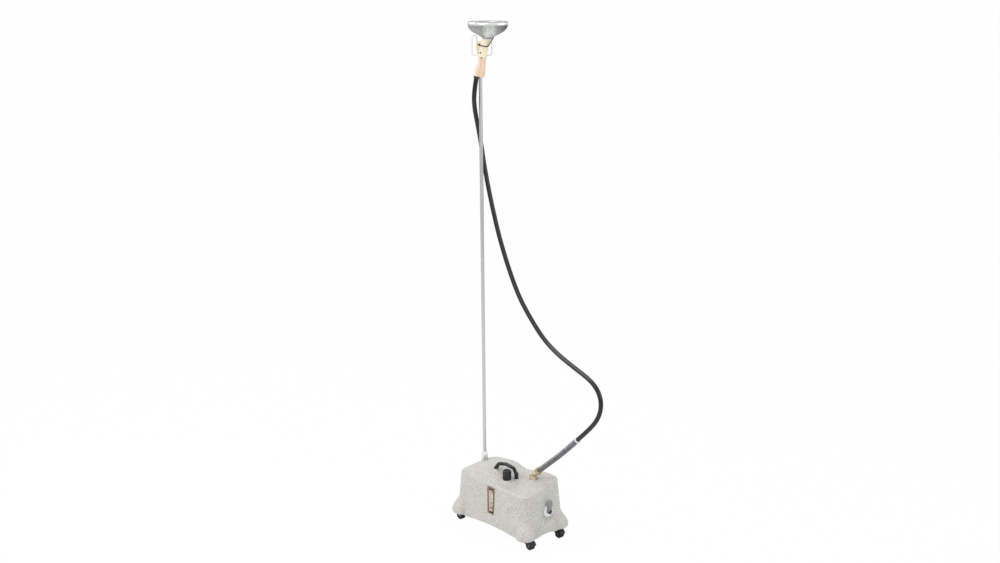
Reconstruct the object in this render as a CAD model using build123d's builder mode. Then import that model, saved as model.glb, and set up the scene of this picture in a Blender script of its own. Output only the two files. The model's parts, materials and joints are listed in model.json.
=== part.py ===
from build123d import *
from math import cos, hypot, pi, radians, sin, sqrt, tan
import os

# Upright garment steamer: a wheeled boiler housing, a pole with a rest at its top, and a
# steam head on a hose.  Millimetres, +Z up.  The origin is on the floor, at the centre of
# the four casters; +X runs along the housing towards the switch and the hose, and -Y is
# the side with the water gauge.

os.makedirs("parts", exist_ok=True)

# ------------------------------------------------------------- driving dimensions
# housing: a cast shell with bowed walls, four flared feet and a crowned top
wall = 4.0
housing_length = 368.0          # at the corners, before the ends bow out
housing_width = 188.0
end_bow = 1.0
side_bow = 3.0
corner_radius = 32.0
end_draft = 0.10                # how far each end leans in, per millimetre of height
side_draft = 0.04
housing_bottom = 36.0
top_edge_radius = 9.0
foot_x = housing_length / 2 - 17.0      # centre of each round foot
foot_y = housing_width / 2 - 14.0
foot_radius = 37.0              # at its widest
# sections up each foot: height, how far it has leant in to the corner, radius
foot_sections = [(housing_bottom, 0, foot_radius - 7), (41, 0, foot_radius - 2),
                 (49, 0, foot_radius), (60, 0.07, foot_radius - 1), (72, 0.30, 34),
                 (84, 0.60, 32), (98, 0.88, 30), (114, 1.0, 27)]
foot_corner_offset = 3.0        # of the foot's top from the corner's own centre
draft_height = 100.0            # where the walls have their full length and width
arch_rise = 8.0                 # how far the lower edge arches up between the feet
arch_end_rise = 5.6             # and between the two feet of one end
arch_half_length = foot_x - 39.0
arch_half_width = foot_y - 34.0
crown_reach = housing_width / 2 + 31.0  # how far the crown's form runs to each side
crown_end = housing_length / 2 + 35.0
crown_shoulder = housing_length / 2 + 20.0
# crown of the top: station along X, height at the near edge, middle and far edge
crown_stations = [
    (-crown_end, 192, 193, 191), (-crown_shoulder, 195, 197, 195), (-150, 199, 211, 207),
    (-90, 199, 230, 214), (-45, 198, 230, 213), (-8, 197, 218, 204), (30, 196, 208, 208),
    (75, 196, 207, 218), (130, 194, 208, 222), (166, 191, 205, 216),
    (crown_shoulder, 163, 174, 185), (crown_end, 152, 162, 172)]
crown_edge = 92.0               # distance of the two edge heights from the middle

# base pan, held to four bosses
pan_bottom = 47.0
pan_thickness = 2.5
pan_gap = 0.4
boss_x = 100.0
boss_y = housing_width / 2 - 4.5        # each boss stands in the wall
boss_radius = 6.5
boss_height = 26.0
screw_radius = 2.0
screw_head_radius = 4.0
screw_head_height = 2.4
screw_length = 18.0

# casters: twin wheels under a hood, on a stem that turns in a socket
stem_x = foot_x + 8.0
stem_y = foot_y - 8.0
caster_trail = 8.0
wheel_radius = 16.0
wheel_width = 7.5
web_width = 5.0                 # the hood's web between the two wheels
wheel_side_gap = 0.5
axle_radius = 2.5
running_clearance = 0.05
hood_radius = 19.0
hood_thickness = 2.0
hood_gap = 1.0
stem_radius = 4.0
hood_top = 38.0
socket_gap = 0.3
socket_radius = 7.0
socket_flange_radius = 11.0
socket_flange_thickness = 3.0
socket_top = 64.0

# boiler, lying along X
boiler_radius = 55.0
boiler_half_length = 112.0
boiler_x = -8.0
boiler_z = 118.0
boiler_wall = 2.0
boiler_edge_radius = 4.0
saddle_spacing = 150.0
saddle_width = 16.0
saddle_reach = 70.0
element_radius = 4.0
element_spread = 26.0
element_length = 170.0
element_drop = 30.0             # below the boiler's axis
flange_radius = 24.0
flange_rise = 8.0               # of the flange's middle above the element
flange_thickness = 6.0
flange_bolt_count = 4
flange_bolt_circle = 19.5
flange_bolt_radius = 2.8
cutoff_radius = 9.0
cutoff_height = 9.0
cutoff_rise = 40.0              # above the boiler's axis

# filler: neck, gasket, cap
filler_x, filler_y = 29.0, -38.0
filler_seat = 208.0
filler_pad_radius = 18.0
filler_bore = 11.0
filler_wall = 2.0
filler_rim = 3.0
gasket_thickness = 2.0
cap_radius = 15.5
cap_height = 30.0
cap_stem_radius = 10.6
cap_stem_length = 12.0

# carrying handle: a bow on two feet
handle_left = (-42.0, -25.0, 227.0)      # middle of the ball at the high end
handle_right = (47.0, -9.0, 212.0)
handle_seat = 208.5
handle_left_seat = handle_left[2] - 1.0
handle_rise = 252.0
handle_bend = 14.0
handle_screw_drop = 6.0          # screw head below the middle of the roof's underside
handle_radius = 6.5
handle_ball_radius = 8.2
handle_foot_radius = 7.5

# water gauge let into the near wall
gauge_x = 6.5
gauge_width = 33.0
gauge_bottom, gauge_top = 87.0, 187.0
gauge_front = -housing_width / 2 - 4.0
gauge_depth = 15.0
gauge_rim = 4.0
gauge_tube_radius = 5.0
gauge_tube_wall = 1.2
gauge_block_height = 17.0
gauge_pipe_inset = 5.0          # of each pipe from its block's inner end
gauge_pipe_radius = 4.0

# rotary switch in the end wall
switch_y, switch_z = 13.0, 120.5
switch_face = housing_length / 2 + 1.8
switch_pad_radius = 26.0
bezel_radius = 23.0
bezel_thickness = 3.5
bezel_lip = 3.5
shaft_radius = 4.0
hub_radius = 9.0
hub_thickness = 5.5
lever_length = 42.0
lever_width = 22.0
lever_thickness = 7.0
switch_body_size = (28.0, 36.0, 40.0)

# cord gland in the far wall
gland_x, gland_z = 92.0, 78.0
gland_face = housing_width / 2 + 4.3
gland_pad_radius = 13.0
gland_nut_radius = 10.0
gland_length = 11.0
gland_bore = 4.0
gland_shank_radius = 7.0

# pole and its socket
pole_x, pole_y = -163.5, 31.0
pole_radius = 6.35
pole_wall = 1.5
pole_seat = 208.5               # top of the cast pad under the socket
pole_pad_radius = 13.5
socket_floor = 5.5
pole_foot = pole_seat + socket_floor
pole_lower_length = 754.0
pole_upper_length = 761.0
pole_joint = pole_foot + pole_lower_length
pole_top = pole_joint + pole_upper_length
pole_clearance = 0.05
stud_radius = 4.8
stud_length = 60.0
socket_body_radius = 12.0
socket_neck_radius = 8.6
socket_shoulder = pole_seat + 20.5
socket_body_top = socket_shoulder + 15.0
set_screw_drop = 9.0            # below the socket's shoulder
set_screw_radius = 2.0
socket_screw_drop = 10.0        # screw head below the roof's outside, less the wall

# hanger at the top of the pole, turned about it
hanger_turn = 47.0
sleeve_radius = 8.2
sleeve_cap = 4.0                # closed end above the pole's top
sleeve_length = 35.0
sleeve_top = pole_top + sleeve_cap
sleeve_bottom = sleeve_top - sleeve_length
wire_radius = 2.0
loop_inner = 10.4               # middle of each loop's inner side, from the pole's axis
loop_left = 27.5
loop_right = 40.5
loop_bottom = sleeve_bottom - 11.5
loop_top = sleeve_top + 21.5
loop_right_top = sleeve_top + 1.0
loop_bend = 8.5
ear_size = 6.0
ear_height = 16.0
ear_left_drop, ear_right_drop = 22.0, 32.0      # each ear's lower end below the sleeve's top
lug_reach = 12.4                # of the lug, from the pole's axis
cradle_wire_radius = 1.75
cradle_half_gap = 13.75
cradle_bridge = -22.0
cradle_rest_end = 12.0
cradle_tip = (26.4, 140.8)      # in the handpiece's own plane
cradle_bends = [4.0, 8.0, 8.0, 4.0]
lug_u = 5.0                     # middle of the lug that the cradle lies in
lug_width = 7.0
lug_height = 9.0

# handpiece: leaning grip, neck and steam head
grip_lean = 10.0
grip_u, grip_n = -3.0, 24.0     # middle of the grip's lower end
grip_z = sleeve_top - 115.5
grip_length = 68.0
grip_width, grip_depth = 34.0, 21.0
collar_top = 108.2
collar_width, collar_depth = 29.0, 20.0
flange_top = 115.5
rest_flange_radius = 15.5
seat_gap = 0.3
lobe_offset = 9.4               # hose port, from the middle of the grip
steam_tube_radius = 4.5
steam_tube_wall = 1.2
neck_half_length, neck_half_depth = 14.0, 11.0
head_u = 28.0
head_wall = 2.4
# head: rise above its foot, half length and half depth of each level
head_levels = [(0, 17, 13), (8, 29.5, 20), (18, 48, 26), (30, 62.5, 30.5), (41, 68, 33),
               (50, 69, 33.5), (56, 66.5, 31.5)]
head_shoulder = 4               # the level where the hollow's taper ends
neck_rise = 16.75               # of the head's foot above the collar's flange
plate_drop = 7.0                # of the plate's inner face below the mouth
plate_thickness = 2.0
plate_length, plate_depth = 59.0, 25.0
plate_ledge = 2.5
slot_length, slot_width = 9.0, 2.6
ferrule_radius = 9.5
ferrule_length = 8.0

# elbow and nuts at the housing end of the hose
elbow_x, elbow_y = 97.0, 24.0
elbow_seat = 213.0
elbow_pad_radius = 17.0
locknut_size = 12.5
locknut_height = 5.0
elbow_radius = 10.0
elbow_bore = 6.0
outlet_nut_size = 12.5
outlet_nut_length = 15.0

# hose: a spring guard round its first stretch, then a free loop up to the handpiece
hose_radius = 8.0
hose_bore = 5.0
guard_radius = 9.8
guard_clearance = 0.3
guard_ring_radius = 10.6
guard_ring_length = 9.0
bend_share = 0.45
hose_route = [
    (133, 24, 257), (193, 24, 307), (252, 24, 358), (313, 24, 416), (357, 24, 459),
    (392, 24, 495), (415, 24, 529), (426, 24, 567), (420, 24, 605), (396, 24, 635),
    (356, 25, 655), (289, 26, 677), (215, 27, 704), (145, 29, 742), (77, 32, 803),
    (18, 36, 865), (-38, 42, 951), (-91, 49, 1049), (-130, 55, 1141), (-162, 59, 1232),
    (-185, 62, 1310), (-193, 59, 1368), (-195, 47, 1432), (-181, 18, 1503),
    (-161.4, -1.9, 1560)]

# ------------------------------------------------------------- shared construction
up = (0, 0, 1)
hanger_side = (cos(radians(hanger_turn)), sin(radians(hanger_turn)), 0)
hanger_front = (sin(radians(hanger_turn)), -cos(radians(hanger_turn)), 0)


def hanger_point(u, n, z):
    """A point u to the side of the pole and n in front of it, at height z."""
    return (pole_x + u * hanger_side[0] + n * hanger_front[0],
            pole_y + u * hanger_side[1] + n * hanger_front[1], z)


def hanger_plane(n=0.0):
    """Upright plane across the hanger: its x is the side, its y is up."""
    return Plane(origin=hanger_point(0, n, 0), x_dir=hanger_side, z_dir=hanger_front)


lean = radians(grip_lean)
grip_axis = (hanger_side[0] * sin(lean), hanger_side[1] * sin(lean), cos(lean))
grip_across = (hanger_side[0] * cos(lean), hanger_side[1] * cos(lean), -sin(lean))


def grip_point(across, along, front=0.0):
    """A point in the leaning handpiece, measured from the middle of its lower end."""
    u = grip_u + across * cos(lean) + along * sin(lean)
    z = grip_z - across * sin(lean) + along * cos(lean)
    return hanger_point(u, grip_n + front, z)


def grip_section(along, across=0.0):
    """Plane square to the handpiece; its y points back towards the pole."""
    return Plane(origin=grip_point(across, along), x_dir=grip_across, z_dir=grip_axis)


def wall_outline(height, inset):
    """Housing plan at one height: four bowed walls with rounded corners."""
    half_length = housing_length / 2 - end_draft * (height - draft_height) - inset
    half_width = housing_width / 2 - side_draft * (height - draft_height) - inset
    corners = [(-half_length, -half_width), (half_length, -half_width),
               (half_length, half_width), (-half_length, half_width)]
    with BuildSketch(Plane.XY.offset(height)) as plan:
        with BuildLine():
            ThreePointArc(corners[0], (0, -half_width - side_bow), corners[1])
            ThreePointArc(corners[1], (half_length + end_bow, 0), corners[2])
            ThreePointArc(corners[2], (0, half_width + side_bow), corners[3])
            ThreePointArc(corners[3], (-half_length - end_bow, 0), corners[0])
        make_face()
        fillet(plan.vertices(), corner_radius - inset)
    return plan.sketch


def crown_form(drop):
    """Everything under the crowned top, lowered by drop."""
    with BuildPart() as crown:
        for station, near, middle, far in crown_stations:
            with BuildSketch(Plane.YZ.offset(station)):
                with BuildLine():
                    ridge = Spline((-crown_reach, near - drop - 6), (-crown_edge, near - drop),
                                   (0, middle - drop), (crown_edge, far - drop),
                                   (crown_reach, far - drop - 10))
                    Polyline(ridge @ 1, (crown_reach, 10), (-crown_reach, 10), ridge @ 0)
                make_face()
        loft()
    return crown.part


def foot_form(side_x, side_y, inset):
    """One flared foot: round sections that lean in from the foot to the housing's corner."""
    corner_x = housing_length / 2 - corner_radius
    corner_y = housing_width / 2 - corner_radius + foot_corner_offset
    with BuildPart() as foot:
        for height, lean_in, radius in foot_sections:
            centre = (side_x * (foot_x + lean_in * (corner_x - foot_x)),
                      side_y * (foot_y + lean_in * (corner_y - foot_y)),
                      height - (inset if height == housing_bottom else 0))
            with BuildSketch(Plane(origin=centre)):
                Circle(radius - inset)
        loft()
    return foot.part


def housing_form(inset):
    """The housing's outer form, or its hollow when inset by the wall."""
    bottom = housing_bottom - inset
    with BuildPart() as form:
        add(wall_outline(bottom, inset))
        add(wall_outline(250, inset))
        loft()
        for side_x in (-1, 1):
            for side_y in (-1, 1):
                add(foot_form(side_x, side_y, inset))
        add(crown_form(inset), mode=Mode.INTERSECT)
    return form.part


def upright(x, y, bottom, top, radius, bore=0.0):
    """A round post or tube standing between two heights."""
    with BuildPart() as post:
        with BuildSketch(Plane(origin=(x, y, bottom))):
            Circle(radius)
            if bore > 0:
                Circle(bore, mode=Mode.SUBTRACT)
        extrude(amount=top - bottom)
    return post.part


def rod(start, end, radius, bore=0.0):
    """A straight round bar or tube between two points."""
    run = Vector(*end) - Vector(*start)
    with BuildPart() as bar:
        with BuildSketch(Plane(origin=start, z_dir=run.normalized())):
            Circle(radius)
            if bore > 0:
                Circle(bore, mode=Mode.SUBTRACT)
        extrude(amount=run.length)
    return bar.part


def wire(points, radius, bends):
    """Round wire bent through the points, each corner to its own radius."""
    with BuildPart() as bent:
        with BuildLine() as path:
            FilletPolyline(*points, radius=bends)
        with BuildSketch(Plane(origin=path.line @ 0, z_dir=path.line % 0)):
            Circle(radius)
        sweep(path=path.line)
    return bent.part


def keep(part, name):
    """Label one finished piece and write it."""
    part.label = name
    export_step(part, "parts/" + name + ".step")


foot_signs = [("front_left", -1, -1), ("front_right", 1, -1),
              ("rear_right", 1, 1), ("rear_left", -1, 1)]
top_wall = 30.0                 # longer than any top wall is thick, for through holes
pad_depth = 22.0                # from each cast pad's face down into the roof

# ------------------------------------------------------------- housing and base
gauge_middle = (gauge_bottom + gauge_top) / 2
gauge_height = gauge_top - gauge_bottom
gauge_box_plane = Plane(origin=(gauge_x, gauge_front, gauge_middle), x_dir=(-1, 0, 0),
                        z_dir=(0, 1, 0))
handle_span = hypot(handle_right[0] - handle_left[0], handle_right[1] - handle_left[1])

with BuildPart() as housing_shell:
    add(housing_form(0))
    rim_edges = housing_shell.edges().filter_by(
        lambda edge: edge.center().Z > 150 and edge.length > 5 and abs((edge % 0.5).Z) < 0.9)
    fillet(rim_edges, top_edge_radius)
    # cast pads under the pole, the elbow, the filler and the handle
    for x, y, seat, radius in [
            (pole_x, pole_y, pole_seat, pole_pad_radius),
            (elbow_x, elbow_y, elbow_seat, elbow_pad_radius),
            (filler_x, filler_y, filler_seat, filler_pad_radius),
            (handle_right[0], handle_right[1], handle_seat, handle_foot_radius + 2),
            (handle_left[0], handle_left[1], handle_left_seat, handle_ball_radius + 1)]:
        add(upright(x, y, seat - pad_depth, seat, radius))
        add(upright(x, y, seat, seat + top_wall, radius), mode=Mode.SUBTRACT)
    # flat pads for the switch and the cord gland
    with BuildSketch(Plane(origin=(switch_face - 20, switch_y, switch_z), z_dir=(1, 0, 0))):
        Circle(switch_pad_radius)
    extrude(amount=20)
    with BuildSketch(Plane(origin=(gland_x, gland_face - 14, gland_z), z_dir=(0, 1, 0))):
        Circle(gland_pad_radius)
    extrude(amount=14)
    add(housing_form(wall), mode=Mode.SUBTRACT)
    # bosses that take the pan screws
    for name, side_x, side_y in foot_signs:
        add(upright(side_x * boss_x, side_y * boss_y, pan_bottom + pan_thickness,
                    pan_bottom + pan_thickness + boss_height, boss_radius))
        add(upright(side_x * boss_x, side_y * boss_y, pan_bottom,
                    pan_bottom + screw_length, screw_radius), mode=Mode.SUBTRACT)
    # the lower edge arches up between the feet
    with BuildSketch(Plane.XZ):
        with BuildLine():
            arch = ThreePointArc((-arch_half_length, housing_bottom - 1),
                                 (0, housing_bottom + arch_rise),
                                 (arch_half_length, housing_bottom - 1))
            Polyline(arch @ 1, (arch_half_length, 0), (-arch_half_length, 0), arch @ 0)
        make_face()
    extrude(amount=200, both=True, mode=Mode.SUBTRACT)
    with BuildSketch(Plane.YZ):
        with BuildLine():
            arch = ThreePointArc((-arch_half_width, housing_bottom - 1),
                                 (0, housing_bottom + arch_end_rise),
                                 (arch_half_width, housing_bottom - 1))
            Polyline(arch @ 1, (arch_half_width, 0), (-arch_half_width, 0), arch @ 0)
        make_face()
    extrude(amount=300, both=True, mode=Mode.SUBTRACT)
    # through holes
    add(upright(pole_x, pole_y, pole_seat - top_wall, pole_seat, 3.0), mode=Mode.SUBTRACT)
    add(upright(elbow_x, elbow_y, elbow_seat - top_wall, elbow_seat, elbow_radius),
        mode=Mode.SUBTRACT)
    add(upright(filler_x, filler_y, filler_seat - top_wall, filler_seat,
                filler_bore + filler_wall), mode=Mode.SUBTRACT)
    for x, y, z in (handle_left, handle_right):
        add(upright(x, y, z - top_wall, z, screw_radius), mode=Mode.SUBTRACT)
    with BuildSketch(gauge_box_plane.offset(-5)):
        Rectangle(gauge_width, gauge_height)
    extrude(amount=5 + gauge_depth, mode=Mode.SUBTRACT)
    with BuildSketch(Plane(origin=(switch_face - 30, switch_y, switch_z), z_dir=(1, 0, 0))):
        Circle(9.0)
    extrude(amount=30, mode=Mode.SUBTRACT)
    with BuildSketch(Plane(origin=(gland_x, gland_face - 30, gland_z), z_dir=(0, 1, 0))):
        Circle(gland_shank_radius)
    extrude(amount=30, mode=Mode.SUBTRACT)
print("housing solids", len(housing_shell.solids()), round(housing_shell.part.volume))
keep(housing_shell.part, "housing_shell")

with BuildPart() as base_pan:
    add(wall_outline(pan_bottom, wall + pan_gap))
    extrude(amount=pan_thickness)
    for name, side_x, side_y in foot_signs:
        add(upright(side_x * foot_x, side_y * foot_y, pan_bottom, pan_bottom + pan_thickness,
                    foot_radius - wall - pan_gap - 1.5))
        add(upright(side_x * stem_x, side_y * stem_y, pan_bottom, pan_bottom + pan_thickness,
                    socket_radius), mode=Mode.SUBTRACT)
        add(upright(side_x * boss_x, side_y * boss_y, pan_bottom, pan_bottom + pan_thickness,
                    screw_radius + 0.3), mode=Mode.SUBTRACT)
keep(base_pan.part, "base_pan")

with BuildPart() as base_screws:
    for name, side_x, side_y in foot_signs:
        x, y = side_x * boss_x, side_y * boss_y
        add(upright(x, y, pan_bottom - screw_head_height, pan_bottom, screw_head_radius))
        add(upright(x, y, pan_bottom, pan_bottom + screw_length, screw_radius))
keep(base_screws.part, "base_screws")

with BuildPart() as caster_sockets:
    for name, side_x, side_y in foot_signs:
        x, y = side_x * stem_x, side_y * stem_y
        socket_bottom = hood_top + socket_gap
        bore = stem_radius + running_clearance
        add(upright(x, y, socket_bottom, pan_bottom, socket_flange_radius, bore))
        add(upright(x, y, pan_bottom, socket_top, socket_radius, bore))
keep(caster_sockets.part, "caster_sockets")

# ------------------------------------------------------------- casters
for name, side_x, side_y in foot_signs:
    axle_x = side_x * (stem_x + caster_trail)
    axle_y = side_y * stem_y
    side_plane = Plane(origin=(axle_x, axle_y, wheel_radius), x_dir=(side_x, 0, 0),
                       z_dir=(0, -side_x, 0))
    hood_inner = wheel_radius + hood_gap
    with BuildPart() as hood:
        # web between the wheels, carried up to the stem
        with BuildSketch(side_plane) as web:
            Circle(hood_radius - 5)
            with Locations((-caster_trail, (hood_top - wheel_radius) / 2)):
                Rectangle(2 * (stem_radius + 3), hood_top - wheel_radius)
            Circle(axle_radius, mode=Mode.SUBTRACT)
        extrude(amount=web_width / 2, both=True)
        # fender over both wheels
        with BuildSketch(side_plane) as fender:
            with BuildLine():
                outer = CenterArc((0, 0), hood_radius, 8, 164)
                inner = CenterArc((0, 0), hood_inner, 8, 164)
                Line(outer @ 0, inner @ 0)
                Line(outer @ 1, inner @ 1)
            make_face()
        extrude(amount=web_width / 2 + wheel_side_gap + wheel_width, both=True)
        # web reaching the fender
        with BuildSketch(side_plane) as rib:
            with BuildLine():
                arc = CenterArc((0, 0), hood_inner + 0.5, 20, 140)
                Line((0, 0), arc @ 0)
                Line((0, 0), arc @ 1)
            make_face()
            Circle(axle_radius, mode=Mode.SUBTRACT)
        extrude(amount=web_width / 2, both=True)
        # collar under the socket, and the stem
        stem_at = (side_x * stem_x, side_y * stem_y)
        add(upright(*stem_at, wheel_radius + hood_radius - 3.5, hood_top, stem_radius + 3))
        add(upright(*stem_at, hood_top, socket_top - 1, stem_radius))
        # keep the wheels' room free
        for way in (-1, 1):
            with BuildSketch(side_plane.offset(way * (web_width / 2 + 8))):
                Circle(hood_inner)
            extrude(amount=8, both=True, mode=Mode.SUBTRACT)
    keep(hood.part, "caster_hood_" + name)

    with BuildPart() as wheels:
        for way in (-1, 1):
            inner_face = web_width / 2 + wheel_side_gap
            wheel_plane = Plane(origin=(axle_x, axle_y + way * inner_face, wheel_radius),
                                x_dir=(1, 0, 0), z_dir=(0, 0, 1))
            with BuildSketch(wheel_plane):
                with BuildLine():
                    Line((axle_radius + running_clearance, 0), (wheel_radius - 0.8, 0))
                    Line((wheel_radius - 0.8, 0), (wheel_radius, way * 0.8))
                    Line((wheel_radius, way * 0.8), (wheel_radius, way * (wheel_width - 4)))
                    ThreePointArc((wheel_radius, way * (wheel_width - 4)),
                                  (wheel_radius - 1.6, way * (wheel_width - 1.4)),
                                  (wheel_radius - 5, way * wheel_width))
                    Line((wheel_radius - 5, way * wheel_width), (7.5, way * (wheel_width - 1.5)))
                    Line((7.5, way * (wheel_width - 1.5)),
                         (axle_radius + running_clearance, way * (wheel_width - 1.5)))
                    Line((axle_radius + running_clearance, way * (wheel_width - 1.5)),
                         (axle_radius + running_clearance, 0))
                make_face()
            revolve(axis=Axis((axle_x, axle_y, wheel_radius), (0, 1, 0)))
    keep(wheels.part, "caster_wheels_" + name)

    axle_half = web_width / 2 + wheel_side_gap + wheel_width - 0.5
    with BuildPart() as axle:
        add(rod((axle_x, axle_y - axle_half, wheel_radius),
                (axle_x, axle_y + axle_half, wheel_radius), axle_radius))
    keep(axle.part, "caster_axle_" + name)

# ------------------------------------------------------------- boiler and what it carries
boiler_start = boiler_x - boiler_half_length
boiler_end = boiler_x + boiler_half_length
pan_top = pan_bottom + pan_thickness
pipe_radius = 8.0
pipe_bore = 5.5
element_height = boiler_z - element_drop
gauge_back = gauge_front + gauge_depth
gauge_low_z = gauge_bottom + gauge_rim + gauge_block_height - gauge_pipe_inset
gauge_high_z = gauge_top - gauge_rim - gauge_block_height + gauge_pipe_inset


def boiler_side(height):
    """How far the boiler's wall lies from its axis plane at a height."""
    return sqrt(boiler_radius ** 2 - (height - boiler_z) ** 2)


pipe_foot = boiler_z + sqrt(boiler_radius ** 2 - elbow_y ** 2) - boiler_wall - 3
filler_reach = abs(filler_y) + filler_bore + filler_wall
filler_foot = boiler_z + sqrt(boiler_radius ** 2 - filler_reach ** 2) - boiler_wall

with BuildPart() as boiler_tank:
    end_plane = Plane(origin=(boiler_start, 0, boiler_z), x_dir=(0, 1, 0), z_dir=(1, 0, 0))
    with BuildSketch(end_plane):
        Circle(boiler_radius)
    extrude(amount=2 * boiler_half_length)
    fillet(boiler_tank.edges().filter_by(GeomType.CIRCLE), boiler_edge_radius)
    with BuildSketch(end_plane.offset(boiler_wall)):
        Circle(boiler_radius - boiler_wall)
    extrude(amount=2 * (boiler_half_length - boiler_wall), mode=Mode.SUBTRACT)
    add(upright(elbow_x, elbow_y, pipe_foot, boiler_z + boiler_radius, pipe_radius),
        mode=Mode.SUBTRACT)
    add(upright(filler_x, filler_y, filler_foot, boiler_z + boiler_radius,
                filler_bore + filler_wall), mode=Mode.SUBTRACT)
    for height in (gauge_low_z, gauge_high_z):
        add(rod((gauge_x, -boiler_radius, height), (gauge_x, 0, height), gauge_pipe_radius),
            mode=Mode.SUBTRACT)
    for way in (-1, 1):
        add(rod((boiler_x, way * element_spread / 2, element_height),
                (boiler_end + 1, way * element_spread / 2, element_height), element_radius),
            mode=Mode.SUBTRACT)
keep(boiler_tank.part, "boiler_tank")

with BuildPart() as boiler_saddles:
    for way in (-1, 1):
        x = boiler_x + way * saddle_spacing / 2
        with BuildSketch(Plane(origin=(x - saddle_width / 2, 0, pan_top), x_dir=(0, 1, 0),
                               z_dir=(1, 0, 0))):
            with Locations((0, 15)):
                Rectangle(saddle_reach, 30)
            with Locations((0, boiler_z - pan_top)):
                Circle(boiler_radius, mode=Mode.SUBTRACT)
        extrude(amount=saddle_width)
keep(boiler_saddles.part, "boiler_saddles")

with BuildPart() as heating_element:
    bend = element_spread / 2
    start = boiler_end + flange_thickness + 8
    far = boiler_end - element_length
    with BuildLine(Plane.XY.offset(element_height)) as loop:
        Line((start, -bend), (far, -bend))
        ThreePointArc((far, -bend), (far - bend, 0), (far, bend))
        Line((far, bend), (start, bend))
    with BuildSketch(Plane(origin=(start, -bend, element_height), z_dir=(-1, 0, 0))):
        Circle(element_radius)
    sweep(path=loop.line)
keep(heating_element.part, "heating_element")

with BuildPart() as element_flange:
    flange_plane = Plane(origin=(boiler_end, 0, element_height + flange_rise), x_dir=(0, 1, 0),
                         z_dir=(1, 0, 0))
    with BuildSketch(flange_plane):
        Circle(flange_radius)
        with Locations((-element_spread / 2, -flange_rise), (element_spread / 2, -flange_rise)):
            Circle(element_radius, mode=Mode.SUBTRACT)
    extrude(amount=flange_thickness)
    with BuildSketch(flange_plane.offset(flange_thickness)):
        with PolarLocations(flange_bolt_circle, flange_bolt_count):
            RegularPolygon(flange_bolt_radius, 6)
    extrude(amount=3)
keep(element_flange.part, "element_flange")

with BuildPart() as low_water_cutoff:
    cutoff_plane = Plane(origin=(boiler_end, 0, boiler_z + cutoff_rise - 12), z_dir=(1, 0, 0))
    with BuildSketch(cutoff_plane):
        Circle(cutoff_radius + 3)
    extrude(amount=2)
    with BuildSketch(cutoff_plane.offset(2)):
        Circle(cutoff_radius)
    extrude(amount=cutoff_height)
    with BuildSketch(cutoff_plane.offset(2 + cutoff_height)):
        with Locations((-4, 0), (4, 0)):
            Rectangle(2, 5)
    extrude(amount=7)
keep(low_water_cutoff.part, "low_water_cutoff")

with BuildPart() as steam_pipe:
    add(upright(elbow_x, elbow_y, pipe_foot, elbow_seat - 8, pipe_radius, pipe_bore))
keep(steam_pipe.part, "steam_pipe")

# ------------------------------------------------------------- filler
with BuildPart() as fill_neck:
    outside = filler_bore + filler_wall
    add(upright(filler_x, filler_y, filler_foot, filler_seat, outside, filler_bore))
    add(upright(filler_x, filler_y, filler_seat, filler_seat + filler_rim, outside + 2,
                filler_bore))
keep(fill_neck.part, "fill_neck")

gasket_bottom = filler_seat + filler_rim
cap_bottom = gasket_bottom + gasket_thickness
with BuildPart() as fill_gasket:
    add(upright(filler_x, filler_y, gasket_bottom, cap_bottom, filler_bore + filler_wall + 1,
                cap_stem_radius + running_clearance))
keep(fill_gasket.part, "fill_gasket")

with BuildPart() as fill_cap:
    cap_top = cap_bottom + cap_height
    with BuildSketch(Plane(origin=(filler_x, filler_y, cap_bottom))):
        Circle(cap_radius)
        with PolarLocations(cap_radius + 1.2, 12):
            Circle(2.2, mode=Mode.SUBTRACT)
    extrude(amount=cap_height - 5)
    with BuildSketch(Plane(origin=(filler_x, filler_y, cap_top - 5))):
        Circle(cap_radius - 2)
    extrude(amount=5)
    fillet(fill_cap.edges().group_by(Axis.Z)[-1], 2)
    with BuildSketch(Plane(origin=(filler_x, filler_y, cap_top - 1.5))):
        Circle(5)
    extrude(amount=2, mode=Mode.SUBTRACT)
    add(upright(filler_x, filler_y, cap_bottom - cap_stem_length, cap_bottom, cap_stem_radius))
keep(fill_cap.part, "fill_cap")

# ------------------------------------------------------------- carrying handle
with BuildPart() as carry_handle:
    left, right = Vector(*handle_left), Vector(*handle_right)
    span = right - left
    along = Vector(span.X, span.Y, 0).normalized()
    bow_plane = Plane(origin=(left.X, left.Y, 0), x_dir=along,
                      z_dir=along.cross(Vector(0, 0, 1)))
    with BuildLine(bow_plane) as bow:
        FilletPolyline((0, left.Z), (0.14 * handle_span, handle_rise - 5),
                       (0.5 * handle_span, handle_rise), (0.88 * handle_span, handle_rise - 7),
                       (handle_span, right.Z + 12), radius=handle_bend)
    with BuildSketch(Plane(origin=bow.line @ 0, z_dir=bow.line % 0)):
        Circle(handle_radius)
    sweep(path=bow.line)
    with Locations(handle_left):
        Sphere(handle_ball_radius)
    add(upright(left.X, left.Y, handle_left_seat, left.Z + 3, handle_ball_radius - 1))
    add(upright(right.X, right.Y, handle_seat, right.Z + 14, handle_foot_radius))
    with Locations((right.X, right.Y, right.Z + 14)):
        Sphere(handle_foot_radius)
    with BuildSketch(Plane(origin=(left.X, left.Y, handle_left_seat))):
        Circle(20)
    extrude(amount=-20, mode=Mode.SUBTRACT)
    for x, y, z in (handle_left, handle_right):
        add(upright(x, y, z - top_wall, z + 6, screw_radius), mode=Mode.SUBTRACT)
keep(carry_handle.part, "carry_handle")
print("handle", len(carry_handle.solids()))

with BuildPart() as handle_screws:
    for (x, y, z), seat in ((handle_left, handle_left_seat), (handle_right, handle_seat)):
        under = seat - wall - handle_screw_drop
        add(upright(x, y, under, z + 6, screw_radius))
        add(upright(x, y, under - screw_head_height, under, screw_head_radius))
keep(handle_screws.part, "handle_screws")

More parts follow.
